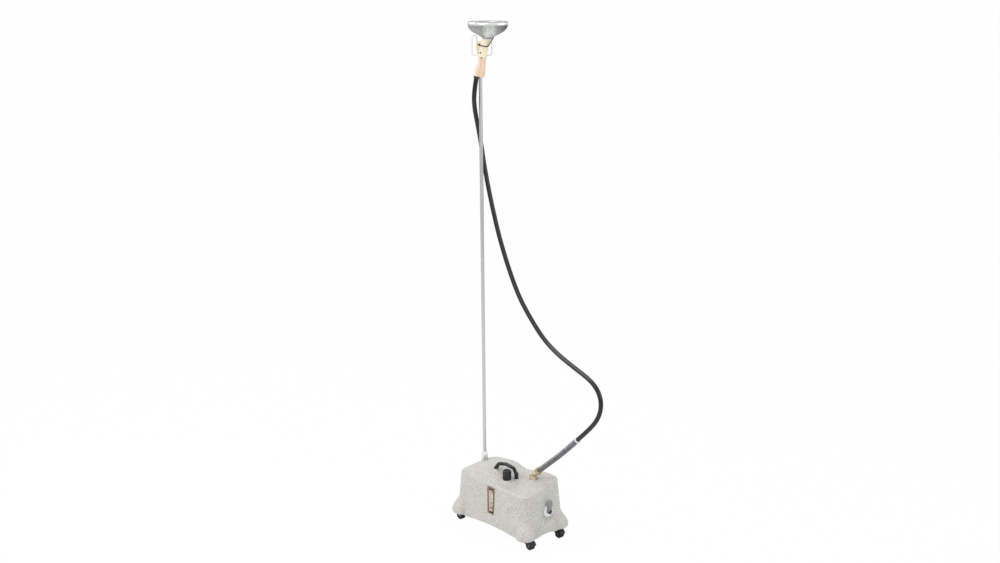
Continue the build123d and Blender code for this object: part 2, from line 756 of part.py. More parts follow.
# ------------------------------------------------------------- water gauge
with BuildPart() as gauge_frame:
    with BuildSketch(gauge_box_plane):
        Rectangle(gauge_width, gauge_height)
    extrude(amount=gauge_depth)
    with BuildSketch(gauge_box_plane):
        RectangleRounded(gauge_width - 2 * gauge_rim, gauge_height - 2 * gauge_rim, 2)
    extrude(amount=gauge_depth - 2, mode=Mode.SUBTRACT)
    for height in (gauge_low_z, gauge_high_z):
        add(rod((gauge_x, gauge_back - 2, height), (gauge_x, gauge_back, height),
                gauge_pipe_radius), mode=Mode.SUBTRACT)
keep(gauge_frame.part, "gauge_frame")

tube_y = gauge_front + 6.5
with BuildPart() as gauge_fittings:
    for low, height in ((gauge_bottom + gauge_rim, gauge_low_z),
                        (gauge_top - gauge_rim - gauge_block_height, gauge_high_z)):
        block_plane = Plane(origin=(gauge_x, gauge_front + 0.8, low + gauge_block_height / 2),
                            x_dir=(-1, 0, 0), z_dir=(0, 1, 0))
        with BuildSketch(block_plane):
            RectangleRounded(2 * gauge_tube_radius + 6, gauge_block_height, 1.5)
        extrude(amount=gauge_depth - 2.8)
        tail = boiler_side(height) - boiler_wall - 1
        add(rod((gauge_x, gauge_back - 3, height), (gauge_x, -tail, height),
                gauge_pipe_radius))
    add(upright(gauge_x, tube_y, gauge_bottom + gauge_rim + 4, gauge_top - gauge_rim - 4,
                gauge_tube_radius), mode=Mode.SUBTRACT)
keep(gauge_fittings.part, "gauge_fittings")

with BuildPart() as gauge_tube:
    add(upright(gauge_x, tube_y, gauge_bottom + gauge_rim + 4, gauge_top - gauge_rim - 4,
                gauge_tube_radius, gauge_tube_radius - gauge_tube_wall))
keep(gauge_tube.part, "gauge_tube")

# ------------------------------------------------------------- rotary switch
face_plane = Plane(origin=(switch_face, switch_y, switch_z), x_dir=(0, 1, 0), z_dir=(1, 0, 0))
with BuildPart() as switch_body:
    depth, breadth, height = switch_body_size
    with BuildSketch(face_plane.offset(-wall - 6)):
        Rectangle(breadth, height)
        Circle(shaft_radius + running_clearance, mode=Mode.SUBTRACT)
    extrude(amount=-depth)
    with BuildSketch(face_plane.offset(-wall - 6)):
        Circle(9.0)
        Circle(shaft_radius + running_clearance, mode=Mode.SUBTRACT)
    extrude(amount=wall + 6)
keep(switch_body.part, "switch_body")

with BuildPart() as switch_bezel:
    with BuildSketch(face_plane):
        Circle(bezel_radius)
        Circle(shaft_radius + 1.5, mode=Mode.SUBTRACT)
    extrude(amount=bezel_thickness)
    chamfer(switch_bezel.edges().filter_by(GeomType.CIRCLE).group_by(Axis.X)[-1]
            .sort_by(SortBy.RADIUS)[-1], 1.5)
    with BuildSketch(face_plane.offset(bezel_thickness)):
        Circle(bezel_radius - bezel_lip)
    extrude(amount=-1.5, mode=Mode.SUBTRACT)
keep(switch_bezel.part, "switch_bezel")

lever_plane = face_plane.offset(bezel_thickness + seat_gap)
with BuildPart() as switch_lever:
    with BuildSketch(lever_plane.offset(-1.5)):
        Circle(hub_radius)
    extrude(amount=hub_thickness + 1.5)
    with BuildSketch(lever_plane.offset(1.0)):
        with BuildLine():
            half = lever_width / 2
            Polyline((-hub_radius + 2, 2), (-half, lever_length - 6))
            ThreePointArc((-half, lever_length - 6), (0, lever_length), (half, lever_length - 6))
            Polyline((half, lever_length - 6), (hub_radius - 2, 2), (-hub_radius + 2, 2))
        make_face()
    extrude(amount=lever_thickness)
    fillet(switch_lever.edges().group_by(Axis.X)[-1], 1.5)
    with BuildSketch(lever_plane):
        Circle(shaft_radius)
    extrude(amount=-(bezel_thickness + seat_gap + 20))
keep(switch_lever.part, "switch_lever")

# ------------------------------------------------------------- cord gland
with BuildPart() as cord_gland:
    gland_plane = Plane(origin=(gland_x, gland_face, gland_z), x_dir=(-1, 0, 0),
                        z_dir=(0, 1, 0))
    with BuildSketch(gland_plane):
        RegularPolygon(gland_nut_radius, 6)
    extrude(amount=5)
    with BuildSketch(gland_plane.offset(5)):
        Circle(gland_nut_radius - 2)
    extrude(amount=gland_length - 5)
    with BuildSketch(gland_plane):
        Circle(gland_shank_radius)
    extrude(amount=-18)
    with BuildSketch(gland_plane.offset(gland_length)):
        Circle(gland_bore)
    extrude(amount=-(gland_length + 18), mode=Mode.SUBTRACT)
keep(cord_gland.part, "cord_gland")

# ------------------------------------------------------------- pole and socket
with BuildPart() as pole_socket:
    profile_plane = Plane(origin=(pole_x, pole_y, 0), x_dir=(1, 0, 0), z_dir=(0, -1, 0))
    with BuildSketch(profile_plane):
        with BuildLine():
            inner = pole_radius + pole_clearance
            Polyline((3.0, pole_seat), (socket_body_radius, pole_seat),
                     (socket_body_radius, socket_shoulder))
            ThreePointArc((socket_body_radius, socket_shoulder),
                          ((socket_body_radius + socket_neck_radius) / 2 + 0.7,
                           (socket_shoulder + socket_body_top) / 2 - 3),
                          (socket_neck_radius, socket_body_top - 4))
            Polyline((socket_neck_radius, socket_body_top - 4),
                     (socket_neck_radius, socket_body_top), (inner, socket_body_top),
                     (inner, pole_foot), (3.0, pole_foot), (3.0, pole_seat))
        make_face()
    revolve(axis=Axis((pole_x, pole_y, 0), up))
    screw_side = hanger_point(0, 30, socket_shoulder - set_screw_drop)
    screw_end = hanger_point(0, pole_radius, socket_shoulder - set_screw_drop)
    add(rod(screw_end, screw_side, set_screw_radius), mode=Mode.SUBTRACT)
keep(pole_socket.part, "pole_socket")

with BuildPart() as pole_set_screw:
    add(rod(hanger_point(0, pole_radius, socket_shoulder - set_screw_drop),
            hanger_point(0, socket_body_radius + 1, socket_shoulder - set_screw_drop), set_screw_radius))
keep(pole_set_screw.part, "pole_set_screw")

with BuildPart() as socket_screw:
    under = pole_seat - wall - socket_screw_drop
    add(upright(pole_x, pole_y, under, pole_foot - 0.5, 3.0))
    add(upright(pole_x, pole_y, under - 4, under, 5.5))
keep(socket_screw.part, "socket_screw")

with BuildPart() as pole_lower:
    add(upright(pole_x, pole_y, pole_foot, pole_joint, pole_radius, pole_radius - pole_wall))
keep(pole_lower.part, "pole_lower")
with BuildPart() as pole_upper:
    add(upright(pole_x, pole_y, pole_joint, pole_top, pole_radius, pole_radius - pole_wall))
keep(pole_upper.part, "pole_upper")
with BuildPart() as pole_stud:
    add(upright(pole_x, pole_y, pole_joint - stud_length / 2, pole_joint + stud_length / 2,
                stud_radius))
keep(pole_stud.part, "pole_stud")

# ------------------------------------------------------------- hanger
with BuildPart() as garment_loops:
    for inner, outer, top, bend in ((-loop_inner, -loop_left, loop_top, loop_bend),
                                    (loop_inner, loop_right, loop_right_top, loop_bend + 2)):
        with BuildLine(hanger_plane()) as loop:
            FilletPolyline((inner, loop_bottom), (inner, top), (outer, top),
                           (outer, loop_bottom), radius=bend, close=True)
        with BuildSketch(Plane(origin=loop.line @ 0, z_dir=loop.line % 0)):
            Circle(wire_radius)
        sweep(path=loop.line)
keep(garment_loops.part, "garment_loops")

cradle_along = collar_top - seat_gap - cradle_wire_radius
with BuildPart() as head_cradle:
    tip_across, tip_along = cradle_tip
    cradle_path = [grip_point(tip_across, tip_along, cradle_half_gap),
                   grip_point(cradle_rest_end, cradle_along, cradle_half_gap),
                   grip_point(cradle_bridge, cradle_along, cradle_half_gap),
                   grip_point(cradle_bridge, cradle_along, -cradle_half_gap),
                   grip_point(cradle_rest_end, cradle_along, -cradle_half_gap),
                   grip_point(tip_across, tip_along, -cradle_half_gap)]
    add(wire(cradle_path, cradle_wire_radius, cradle_bends))
keep(head_cradle.part, "head_cradle")

lug_across = (lug_u - grip_u - cradle_along * sin(lean)) / cos(lean)
lug_top = grip_z - lug_across * sin(lean) + cradle_along * cos(lean) - seat_gap
with BuildPart() as hanger_sleeve:
    add(upright(pole_x, pole_y, sleeve_bottom, sleeve_top, sleeve_radius))
    # ears that carry the loops, and the lug that the cradle lies in
    for block_u, block_n, size_u, size_n, low, high in (
            (-loop_inner, 0, ear_size, ear_size,
             sleeve_top - ear_left_drop, sleeve_top - ear_left_drop + ear_height),
            (loop_inner, 0, ear_size, ear_size,
             sleeve_top - ear_right_drop, sleeve_top - ear_right_drop + ear_height),
            (lug_u, (lug_reach + pole_radius) / 2, lug_width, lug_reach - pole_radius,
             lug_top - lug_height, lug_top)):
        with BuildSketch(Plane(origin=hanger_point(block_u, block_n, low), x_dir=hanger_side,
                               z_dir=up)):
            Rectangle(size_u, size_n)
        extrude(amount=high - low)
    add(upright(pole_x, pole_y, sleeve_bottom, pole_top, pole_radius), mode=Mode.SUBTRACT)
    add(garment_loops.part, mode=Mode.SUBTRACT)
    add(head_cradle.part, mode=Mode.SUBTRACT)
keep(hanger_sleeve.part, "hanger_sleeve")

# ------------------------------------------------------------- handpiece
steam_start = grip_point(-lobe_offset, 0)
steam_end = grip_point(0, flange_top + 4)
with BuildPart() as steam_tube:
    add(rod(steam_start, steam_end, steam_tube_radius, steam_tube_radius - steam_tube_wall))
keep(steam_tube.part, "steam_tube")

with BuildPart() as grip_screws:
    for across, along, radius in ((-10, 81, 2.6), (-4, 64.5, 2.2)):
        face = collar_depth / 2
        add(rod(grip_point(across, along, face - 2), grip_point(across, along, face + 0.9),
                radius))
keep(grip_screws.part, "grip_screws")

with BuildPart() as grip:
    for along, width, depth, lobe in ((0, grip_width - 3, grip_depth - 2, 0.36),
                                      (7, grip_width, grip_depth, 0.38),
                                      (34, 31, grip_depth, 0.40),
                                      (grip_length, collar_width - 1, collar_depth, 0.42)):
        with BuildSketch(grip_section(along)):
            RectangleRounded(width, depth, lobe * depth)
    loft()
    # the valley between the grip's two lobes, front and back
    for side in (-1, 1):
        with BuildSketch(grip_section(-1)):
            with Locations((0, side * (grip_depth / 2 + 1.2))):
                Circle(3.4)
        extrude(amount=grip_length - 10, mode=Mode.SUBTRACT)
    add(rod(steam_start, steam_end, steam_tube_radius), mode=Mode.SUBTRACT)
    add(grip_screws.part, mode=Mode.SUBTRACT)
keep(grip.part, "grip")

with BuildPart() as grip_collar:
    with BuildSketch(grip_section(grip_length)):
        RectangleRounded(collar_width, collar_depth, 0.42 * collar_depth)
    extrude(amount=collar_top - grip_length)
    with BuildSketch(grip_section(collar_top)):
        Circle(rest_flange_radius)
    extrude(amount=flange_top - collar_top)
    chamfer(grip_collar.faces().sort_by(Axis.Z)[-1].edges(), 1.5)
    add(rod(steam_start, steam_end, steam_tube_radius), mode=Mode.SUBTRACT)
    add(grip_screws.part, mode=Mode.SUBTRACT)
keep(grip_collar.part, "grip_collar")

with BuildPart() as hose_ferrule:
    with BuildSketch(grip_section(-ferrule_length, -lobe_offset)):
        Circle(ferrule_radius)
        Circle(hose_bore, mode=Mode.SUBTRACT)
    extrude(amount=ferrule_length)
keep(hose_ferrule.part, "hose_ferrule")

head_low = grip_z + flange_top * cos(lean) + neck_rise
head_mouth = head_low + head_levels[-1][0]
plate_height = head_mouth - plate_drop
shoulder_height = head_low + head_levels[head_shoulder][0]
head_middle = hanger_point(head_u, grip_n, 0)


def head_level(height):
    """Level plane through the head's middle, x along its length."""
    return Plane(origin=(head_middle[0], head_middle[1], height), x_dir=hanger_side, z_dir=up)


with BuildPart() as head_neck:
    with BuildSketch(grip_section(flange_top)):
        Ellipse(neck_half_length, neck_half_depth)
    with BuildSketch(Plane(origin=hanger_point(22.5, grip_n, head_low - 8), x_dir=hanger_side,
                           z_dir=(grip_axis[0] * 1.6, grip_axis[1] * 1.6, 1))):
        Ellipse(neck_half_length + 0.5, neck_half_depth + 0.5)
    with BuildSketch(head_level(head_low)):
        Ellipse(head_levels[0][1], head_levels[0][2])
    loft()
    add(rod(steam_start, steam_end, steam_tube_radius), mode=Mode.SUBTRACT)
    add(rod(grip_point(0, flange_top + 3), hanger_point(head_u, grip_n, head_low + 6), 3.0),
        mode=Mode.SUBTRACT)
keep(head_neck.part, "head_neck")

with BuildPart() as head_shell:
    for rise, half_length, half_depth in head_levels:
        with BuildSketch(head_level(head_low + rise)):
            Ellipse(half_length, half_depth)
    loft()
with BuildPart() as head_hollow:
    for rise, half_length, half_depth in head_levels[:head_shoulder + 1]:
        with BuildSketch(head_level(head_low + rise + head_wall)):
            Ellipse(half_length - head_wall - 3, half_depth - head_wall - 3)
    loft()
with BuildPart(mode=Mode.PRIVATE) as head_mouth_room:
    with BuildSketch(head_level(shoulder_height)):
        Ellipse(plate_length - plate_ledge, plate_depth - plate_ledge)
    extrude(amount=plate_height - shoulder_height)
    with BuildSketch(head_level(plate_height)):
        Ellipse(plate_length, plate_depth)
    extrude(amount=head_mouth - plate_height)
with BuildPart() as steam_head:
    add(head_shell.part)
    add(head_hollow.part, mode=Mode.SUBTRACT)
    add(head_mouth_room.part, mode=Mode.SUBTRACT)
    add(rod(hanger_point(head_u, grip_n, head_low - 1),
            hanger_point(head_u, grip_n, head_low + 8), 3.0), mode=Mode.SUBTRACT)
keep(steam_head.part, "steam_head")
print("head", len(steam_head.solids()), steam_head.part.volume)

with BuildPart() as head_plate:
    with BuildSketch(head_level(plate_height)):
        Ellipse(plate_length, plate_depth)
        with GridLocations(14, 10, 7, 4):
            SlotOverall(slot_length, slot_width, mode=Mode.SUBTRACT)
    extrude(amount=plate_thickness)
keep(head_plate.part, "head_plate")

# ------------------------------------------------------------- elbow, nuts and hose
hose_start = Vector(*hose_route[0])
hose_way = (Vector(*hose_route[1]) - hose_start).normalized()
# the elbow turns where the hose's line meets the steam pipe's axis
elbow_turn = hose_start - hose_way * ((hose_start.X - elbow_x) / hose_way.X)
elbow_height = elbow_turn.Z
nut_start = hose_start - hose_way * outlet_nut_length

with BuildPart() as elbow_locknut:
    with BuildSketch(Plane(origin=(elbow_x, elbow_y, elbow_seat))):
        RegularPolygon(locknut_size, 6, major_radius=False)
        Circle(elbow_radius, mode=Mode.SUBTRACT)
    extrude(amount=locknut_height)
keep(elbow_locknut.part, "elbow_locknut")

with BuildPart() as hose_elbow:
    add(upright(elbow_x, elbow_y, elbow_seat - 8, elbow_height, elbow_radius))
    with Locations(elbow_turn):
        Sphere(elbow_radius + 1.5)
    add(rod(elbow_turn, nut_start, elbow_radius))
    add(upright(elbow_x, elbow_y, elbow_seat, elbow_seat + locknut_height, elbow_radius + 5,
                elbow_radius), mode=Mode.SUBTRACT)
    add(upright(elbow_x, elbow_y, elbow_seat - 8, elbow_height, elbow_bore),
        mode=Mode.SUBTRACT)
    with Locations(elbow_turn):
        Sphere(elbow_bore, mode=Mode.SUBTRACT)
    add(rod(elbow_turn, nut_start, elbow_bore), mode=Mode.SUBTRACT)
keep(hose_elbow.part, "hose_elbow")

with BuildPart() as hose_nut:
    with BuildSketch(Plane(origin=nut_start, z_dir=hose_way)):
        RegularPolygon(outlet_nut_size, 6, major_radius=False)
        Circle(elbow_bore, mode=Mode.SUBTRACT)
    extrude(amount=outlet_nut_length)
    chamfer(hose_nut.faces().sort_by(Axis.Z)[-1].outer_wire().edges(), 1.2)
keep(hose_nut.part, "hose_nut")

hose_end = grip_point(-lobe_offset, -ferrule_length - seat_gap)
route = [Vector(*point) for point in hose_route] + [Vector(*hose_end)]
radii = []
for before, corner, after in zip(route, route[1:], route[2:]):
    run_in, run_out = corner - before, after - corner
    turn = radians(run_in.get_angle(run_out))
    radii.append(bend_share * min(run_in.length, run_out.length) / tan(turn / 2))
print("hose radii", [round(radius) for radius in radii])

guard_last = 3                  # the guard ends at this point of the route
with BuildPart() as hose:
    with BuildLine() as hose_path:
        FilletPolyline(*route, radius=radii)
    with BuildSketch(Plane(origin=hose_path.line @ 0, z_dir=hose_path.line % 0)):
        Circle(hose_radius)
        Circle(hose_bore, mode=Mode.SUBTRACT)
    sweep(path=hose_path.line)
hose_length = hose_path.wire().length
hose_section = pi * (hose_radius ** 2 - hose_bore ** 2)
print("hose length", round(hose_length), "volume ratio",
      round(hose.part.volume / (hose_section * hose_length), 4))
keep(hose.part, "hose")

guard_end = route[guard_last]
guard_bore = hose_radius + guard_clearance
with BuildPart() as hose_guard:
    with BuildLine() as guard_path:
        FilletPolyline(*route[:guard_last + 1], radius=radii[:guard_last - 1])
    with BuildSketch(Plane(origin=guard_path.line @ 0, z_dir=guard_path.line % 0)):
        Circle(guard_radius)
        Circle(guard_bore, mode=Mode.SUBTRACT)
    sweep(path=guard_path.line)
keep(hose_guard.part, "hose_guard")

with BuildPart() as guard_ring:
    with BuildSketch(Plane(origin=guard_end, z_dir=guard_path.line % 1)):
        Circle(guard_ring_radius)
        Circle(guard_bore, mode=Mode.SUBTRACT)
    extrude(amount=guard_ring_length)
    fillet(guard_ring.edges().filter_by(GeomType.CIRCLE).sort_by(SortBy.RADIUS)[-2:], 1)
keep(guard_ring.part, "guard_ring")
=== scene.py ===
import json
from math import cos, pi, radians, sin

import bmesh
import bpy
from mathutils import Matrix, Vector


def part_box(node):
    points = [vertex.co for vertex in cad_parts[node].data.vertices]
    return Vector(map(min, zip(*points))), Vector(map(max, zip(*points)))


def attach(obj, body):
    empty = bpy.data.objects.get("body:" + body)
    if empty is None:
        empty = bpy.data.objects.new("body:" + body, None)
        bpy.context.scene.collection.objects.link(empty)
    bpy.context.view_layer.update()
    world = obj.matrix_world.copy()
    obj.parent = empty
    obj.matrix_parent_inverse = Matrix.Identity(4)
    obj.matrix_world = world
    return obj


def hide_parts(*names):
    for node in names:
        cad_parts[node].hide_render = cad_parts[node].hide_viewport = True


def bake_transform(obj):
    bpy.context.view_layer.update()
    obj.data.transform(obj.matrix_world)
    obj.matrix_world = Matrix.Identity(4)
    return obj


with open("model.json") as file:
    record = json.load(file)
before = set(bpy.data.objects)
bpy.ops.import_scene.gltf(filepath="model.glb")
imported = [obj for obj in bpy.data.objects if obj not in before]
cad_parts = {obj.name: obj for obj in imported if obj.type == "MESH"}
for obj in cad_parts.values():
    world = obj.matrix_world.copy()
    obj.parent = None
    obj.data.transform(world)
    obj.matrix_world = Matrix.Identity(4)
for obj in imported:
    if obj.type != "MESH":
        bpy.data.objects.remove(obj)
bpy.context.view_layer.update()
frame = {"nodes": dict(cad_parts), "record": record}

# An upright garment steamer.  Metres, +Z up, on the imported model's own frame: the origin is
# on the floor between the casters, +X runs towards the switch end and -Y is the gauge side.
scene = bpy.context.scene
scene.view_settings.view_transform = "Standard"
mm = 0.001


# ---------------------------------------------------------------- helpers
def linear(hex_colour):
    """An sRGB hex colour as linear RGBA."""
    values = [int(hex_colour[i:i + 2], 16) / 255 for i in (1, 3, 5)]
    return [v / 12.92 if v <= 0.04045 else ((v + 0.055) / 1.055) ** 2.4 for v in values] + [1.0]


def add_node(tree, kind, inputs=None, stops=(), **settings):
    """Adds a node.  An input given as a socket, or as a node for its first open output, is
    linked, and a plain value is set.  A ramp's stops are (position, hex colour)."""
    node = tree.nodes.new(kind)
    for name, value in settings.items():
        setattr(node, name, value)
    for name, value in (inputs or {}).items():
        if isinstance(value, bpy.types.Node):
            value = next(socket for socket in value.outputs if socket.enabled)
        if isinstance(value, bpy.types.NodeSocket):
            tree.links.new(value, node.inputs[name])
        else:
            node.inputs[name].default_value = value
    if stops:
        elements = node.color_ramp.elements
        while len(elements) < len(stops):
            elements.new(0.5)
        for element, (position, colour) in zip(elements, stops):
            element.position = position
            element.color = linear(colour)
    return node


def show(name, mesh, material=None):
    """Puts a mesh in the scene as a piece, in a material."""
    if material:
        mesh.materials.clear()
        mesh.materials.append(material)
    piece = bpy.data.objects.new(name, mesh)
    scene.collection.objects.link(piece)
    return piece


def smooth(mesh, crease):
    """Shades a mesh smooth, apart from edges sharper than crease degrees."""
    mesh.polygons.foreach_set("use_smooth", [True] * len(mesh.polygons))
    mesh.set_sharp_from_angle(angle=radians(crease))


def evaluated(piece):
    """The piece's mesh with its modifiers worked in."""
    return bpy.data.meshes.new_from_object(
        piece.evaluated_get(bpy.context.evaluated_depsgraph_get()))


def centreline(name, points):
    """Points along the smooth spline whose control points these are."""
    curve = bpy.data.curves.new(name, "CURVE")
    curve.dimensions = "3D"
    spline = curve.splines.new("NURBS")
    spline.points.add(len(points) - 1)
    for knot, point in zip(spline.points, points):
        knot.co = (*point, 1.0)
    spline.order_u = 3
    spline.use_endpoint_u = True
    spline.resolution_u = 12
    guide = bpy.data.objects.new(name, curve)
    scene.collection.objects.link(guide)
    line = [vertex.co.copy() for vertex in evaluated(guide).vertices]
    bpy.data.objects.remove(guide)
    return line


def thread(name, line):
    """A mesh of bare edges along a line of points."""
    mesh = bpy.data.meshes.new(name)
    mesh.from_pydata(line, [(i, i + 1) for i in range(len(line) - 1)], [])
    return mesh


# ---------------------------------------------------------------- camera
azimuth, pitch, roll = radians(47.245), radians(15.06), radians(-0.502)
eye = Vector((3.653, -3.414, 2.269))
forward = Vector((-sin(azimuth) * cos(pitch), cos(azimuth) * cos(pitch), -sin(pitch)))
across = forward.cross(Vector((0, 0, 1))).normalized()
upward = across.cross(forward)
right = across * cos(roll) + upward * sin(roll)
top = upward * cos(roll) - across * sin(roll)
facing = Matrix((right, top, -forward)).transposed().to_4x4()
camera = bpy.data.objects.new("camera", bpy.data.cameras.new("camera"))
camera.matrix_world = Matrix.Translation(eye) @ facing
camera.data.lens = 53.87
camera.data.sensor_width = 36.0
scene.collection.objects.link(camera)
scene.camera = camera


# ---------------------------------------------------------------- patterns and materials
def new_material(name):
    """An empty material, and its node tree."""
    material = bpy.data.materials.new(name)
    material.use_nodes = True
    material.node_tree.nodes.clear()
    return material, material.node_tree


def end_material(tree, colour, roughness, height=None, depth=0.0, strength=0.5, **sockets):
    """Ends a material in one Principled shader, raised depth metres by a height pattern."""
    inputs = {"Base Color": colour, "Roughness": roughness}
    inputs.update((name.replace("_", " "), value) for name, value in sockets.items())
    if height is not None:
        inputs["Normal"] = add_node(tree, "ShaderNodeBump", {
            "Height": height, "Distance": depth, "Strength": strength})
    shader = add_node(tree, "ShaderNodeBsdfPrincipled", inputs)
    add_node(tree, "ShaderNodeOutputMaterial", {"Surface": shader})


def object_coordinates(tree, **mapping):
    """Object coordinates in metres, under the Scale or Rotation that is given."""
    place = add_node(tree, "ShaderNodeTexCoord").outputs["Object"]
    return add_node(tree, "ShaderNodeMapping", {"Vector": place, **mapping})


def hammered_enamel():
    """Hammer-finish enamel sprayed on a cast shell: pale grey, flecked darker where the
    pigment gathers, over shallow dimples."""
    material, tree = new_material("hammered_enamel")
    place = object_coordinates(tree)
    drift = add_node(tree, "ShaderNodeTexNoise", {
        "Vector": place, "Scale": 1 / (35 * mm), "Detail": 3})
    fleck = add_node(tree, "ShaderNodeTexNoise", {
        "Vector": place, "Scale": 1 / (4.2 * mm), "Detail": 4, "Roughness": 0.65})
    shift = add_node(tree, "ShaderNodeMapRange", {
        "Value": drift, "To Min": -0.06, "To Max": 0.06})
    mixed = add_node(tree, "ShaderNodeMath", {0: fleck, 1: shift}, operation="ADD")
    colour = add_node(tree, "ShaderNodeValToRGB", {"Fac": mixed}, [
        (0.30, "#a5a298"), (0.44, "#c2c0b7"), (0.56, "#d3d1ca"), (0.72, "#e2e1dc")])
    gloss = add_node(tree, "ShaderNodeMapRange", {
        "Value": fleck, "To Min": 0.32, "To Max": 0.52})
    dimples = add_node(tree, "ShaderNodeTexVoronoi", {
        "Vector": place, "Scale": 1 / (4.5 * mm), "Smoothness": 0.6}, feature="SMOOTH_F1")
    end_material(tree, colour, gloss, dimples, 0.6 * mm, 0.6, Coat_Weight=0.25,
                 Coat_Roughness=0.25)
    return material


def drawn_aluminium(name, base, roughness):
    """Bright-dipped drawn aluminium: pale metal with faint lines along its length, drawn
    about three times coarser than real so that they show."""
    material, tree = new_material(name)
    lines = add_node(tree, "ShaderNodeTexNoise", {
        "Vector": object_coordinates(tree, Scale=(1, 1, 0.02)), "Scale": 1 / (0.8 * mm)})
    gloss = add_node(tree, "ShaderNodeMapRange", {
        "Value": lines, "To Min": roughness - 0.06, "To Max": roughness + 0.08})
    end_material(tree, linear(base), gloss, lines, 0.04 * mm, Metallic=1.0)
    return material


def cast_aluminium(shiny_highlight_band_from, lip_from, long_side, left_end, right_end):
    """Cast aluminium bowl: tumbled to a patchy soft grey grain, with a painted highlight across
    its middle and painted shade either side of it, darkest towards its right end, and a band
    under the lip that is polished and painted near white as a highlight.  The first two are
    heights.  The long side is turned from +X by the angle long_side, and the ends are places
    along it."""
    material, tree = new_material("cast_aluminium_bowl")
    place = object_coordinates(tree)
    height = add_node(tree, "ShaderNodeSeparateXYZ", {"Vector": place}).outputs["Z"]
    side_on = object_coordinates(tree, Rotation=(0, 0, -long_side))
    along = add_node(tree, "ShaderNodeSeparateXYZ", {"Vector": side_on}).outputs["X"]
    grain = add_node(tree, "ShaderNodeTexNoise", {
        "Vector": place, "Scale": 1 / (1.6 * mm), "Detail": 4, "Roughness": 0.6})
    tumbled = add_node(tree, "ShaderNodeTexNoise", {
        "Vector": place, "Scale": 1 / (4.5 * mm), "Detail": 4, "Roughness": 0.6})
    polish_and_highlight_streaks = add_node(tree, "ShaderNodeTexNoise", {
        "Vector": object_coordinates(tree, Scale=(0.05, 0.05, 1)), "Scale": 1 / (0.6 * mm),
        "Detail": 3})
    above = add_node(tree, "ShaderNodeMapRange", {
        "Value": height, "From Min": shiny_highlight_band_from - 1.2 * mm,
        "From Max": shiny_highlight_band_from + 0.6 * mm})
    below = add_node(tree, "ShaderNodeMapRange", {
        "Value": height, "From Min": lip_from - 0.6 * mm, "From Max": lip_from + 0.6 * mm,
        "To Min": 1.0, "To Max": 0.0})
    band = add_node(tree, "ShaderNodeMath", {0: above, 1: below}, operation="MULTIPLY")
    lip = add_node(tree, "ShaderNodeMapRange", {
        "Value": height, "From Min": lip_from - 0.4 * mm, "From Max": lip_from + 0.4 * mm})
    share = add_node(tree, "ShaderNodeMapRange", {
        "Value": along, "From Min": left_end, "From Max": right_end})
    patches = add_node(tree, "ShaderNodeValToRGB", {"Fac": tumbled}, [
        (0.34, "#b9bbb8"), (0.50, "#d6d7d4"), (0.66, "#ececea")])
    # painted highlight across the bowl's middle and painted shade either side, darkest at the
    # right end
    painted_sheen_and_shade = add_node(tree, "ShaderNodeValToRGB", {"Fac": share}, [
        (0.0, "#e2e2e1"), (0.12, "#c4c5c3"), (0.36, "#c9cac8"), (0.46, "#fdfdfc"),
        (0.64, "#fbfbfa"), (0.72, "#bdbebd"), (0.95, "#868786")])
    # painted highlight: the band under the lip is painted near white for the white surroundings
    # it reflects; its lower roughness is real polish
    bright = add_node(tree, "ShaderNodeValToRGB", {"Fac": polish_and_highlight_streaks}, [
        (0.3, "#eeeeec"), (0.7, "#fcfcfb")])
    colour = add_node(tree, "ShaderNodeMix", {"Factor": 1.0, 6: patches, 7: painted_sheen_and_shade},
                      data_type="RGBA", blend_type="MULTIPLY")
    for mask, over in ((lip, linear("#a8a9a7")), (band, bright)):
        colour = add_node(tree, "ShaderNodeMix", {"Factor": mask, 6: colour, 7: over},
                          data_type="RGBA")
    dull = add_node(tree, "ShaderNodeMapRange", {
        "Value": grain, "To Min": 0.26, "To Max": 0.44})
    shiny = add_node(tree, "ShaderNodeMapRange", {
        "Value": polish_and_highlight_streaks, "To Min": 0.14, "To Max": 0.24})
    gloss = add_node(tree, "ShaderNodeMix", {"Factor": band, 2: dull, 3: shiny})
    end_material(tree, colour, gloss, grain, 0.12 * mm, 0.4, Metallic=1.0)
    return material


def worked_metal(name, base, roughness, grain_size=1.2 * mm, depth=0.04 * mm, dark=None,
                 patch_size=6 * mm):
    """A turned or rolled metal: fine grain in its gloss, and tarnished patches where dark is
    given.
    """
    material, tree = new_material(name)
    place = object_coordinates(tree)
    grain = add_node(tree, "ShaderNodeTexNoise", {
        "Vector": place, "Scale": 1 / grain_size, "Detail": 3})
    gloss = add_node(tree, "ShaderNodeMapRange", {
        "Value": grain, "To Min": roughness * 0.7, "To Max": roughness * 1.3})
    colour = linear(base)
    if dark:
        patch = add_node(tree, "ShaderNodeTexNoise", {
            "Vector": place, "Scale": 1 / patch_size, "Detail": 3})
        colour = add_node(tree, "ShaderNodeValToRGB", {"Fac": patch}, [
            (0.36, dark), (0.58, base)])
    end_material(tree, colour, gloss, grain, depth, 0.4, Metallic=1.0)
    return material


def moulded_plastic(name, base, roughness, coat=0.0):
    """Injection- or compression-moulded plastic: even colour, faint mould grain, and a film
    of dust that varies its gloss."""
    material, tree = new_material(name)
    place = object_coordinates(tree)
    dust = add_node(tree, "ShaderNodeTexNoise", {
        "Vector": place, "Scale": 1 / (20 * mm), "Detail": 4, "Roughness": 0.6})
    gloss = add_node(tree, "ShaderNodeMapRange", {
        "Value": dust, "To Min": roughness * 0.75, "To Max": roughness * 1.35})
    grain = add_node(tree, "ShaderNodeTexNoise", {
        "Vector": place, "Scale": 1 / (0.9 * mm), "Detail": 3})
    end_material(tree, linear(base), gloss, grain, 0.05 * mm, Coat_Weight=coat,
                 Coat_Roughness=0.08)
    return material


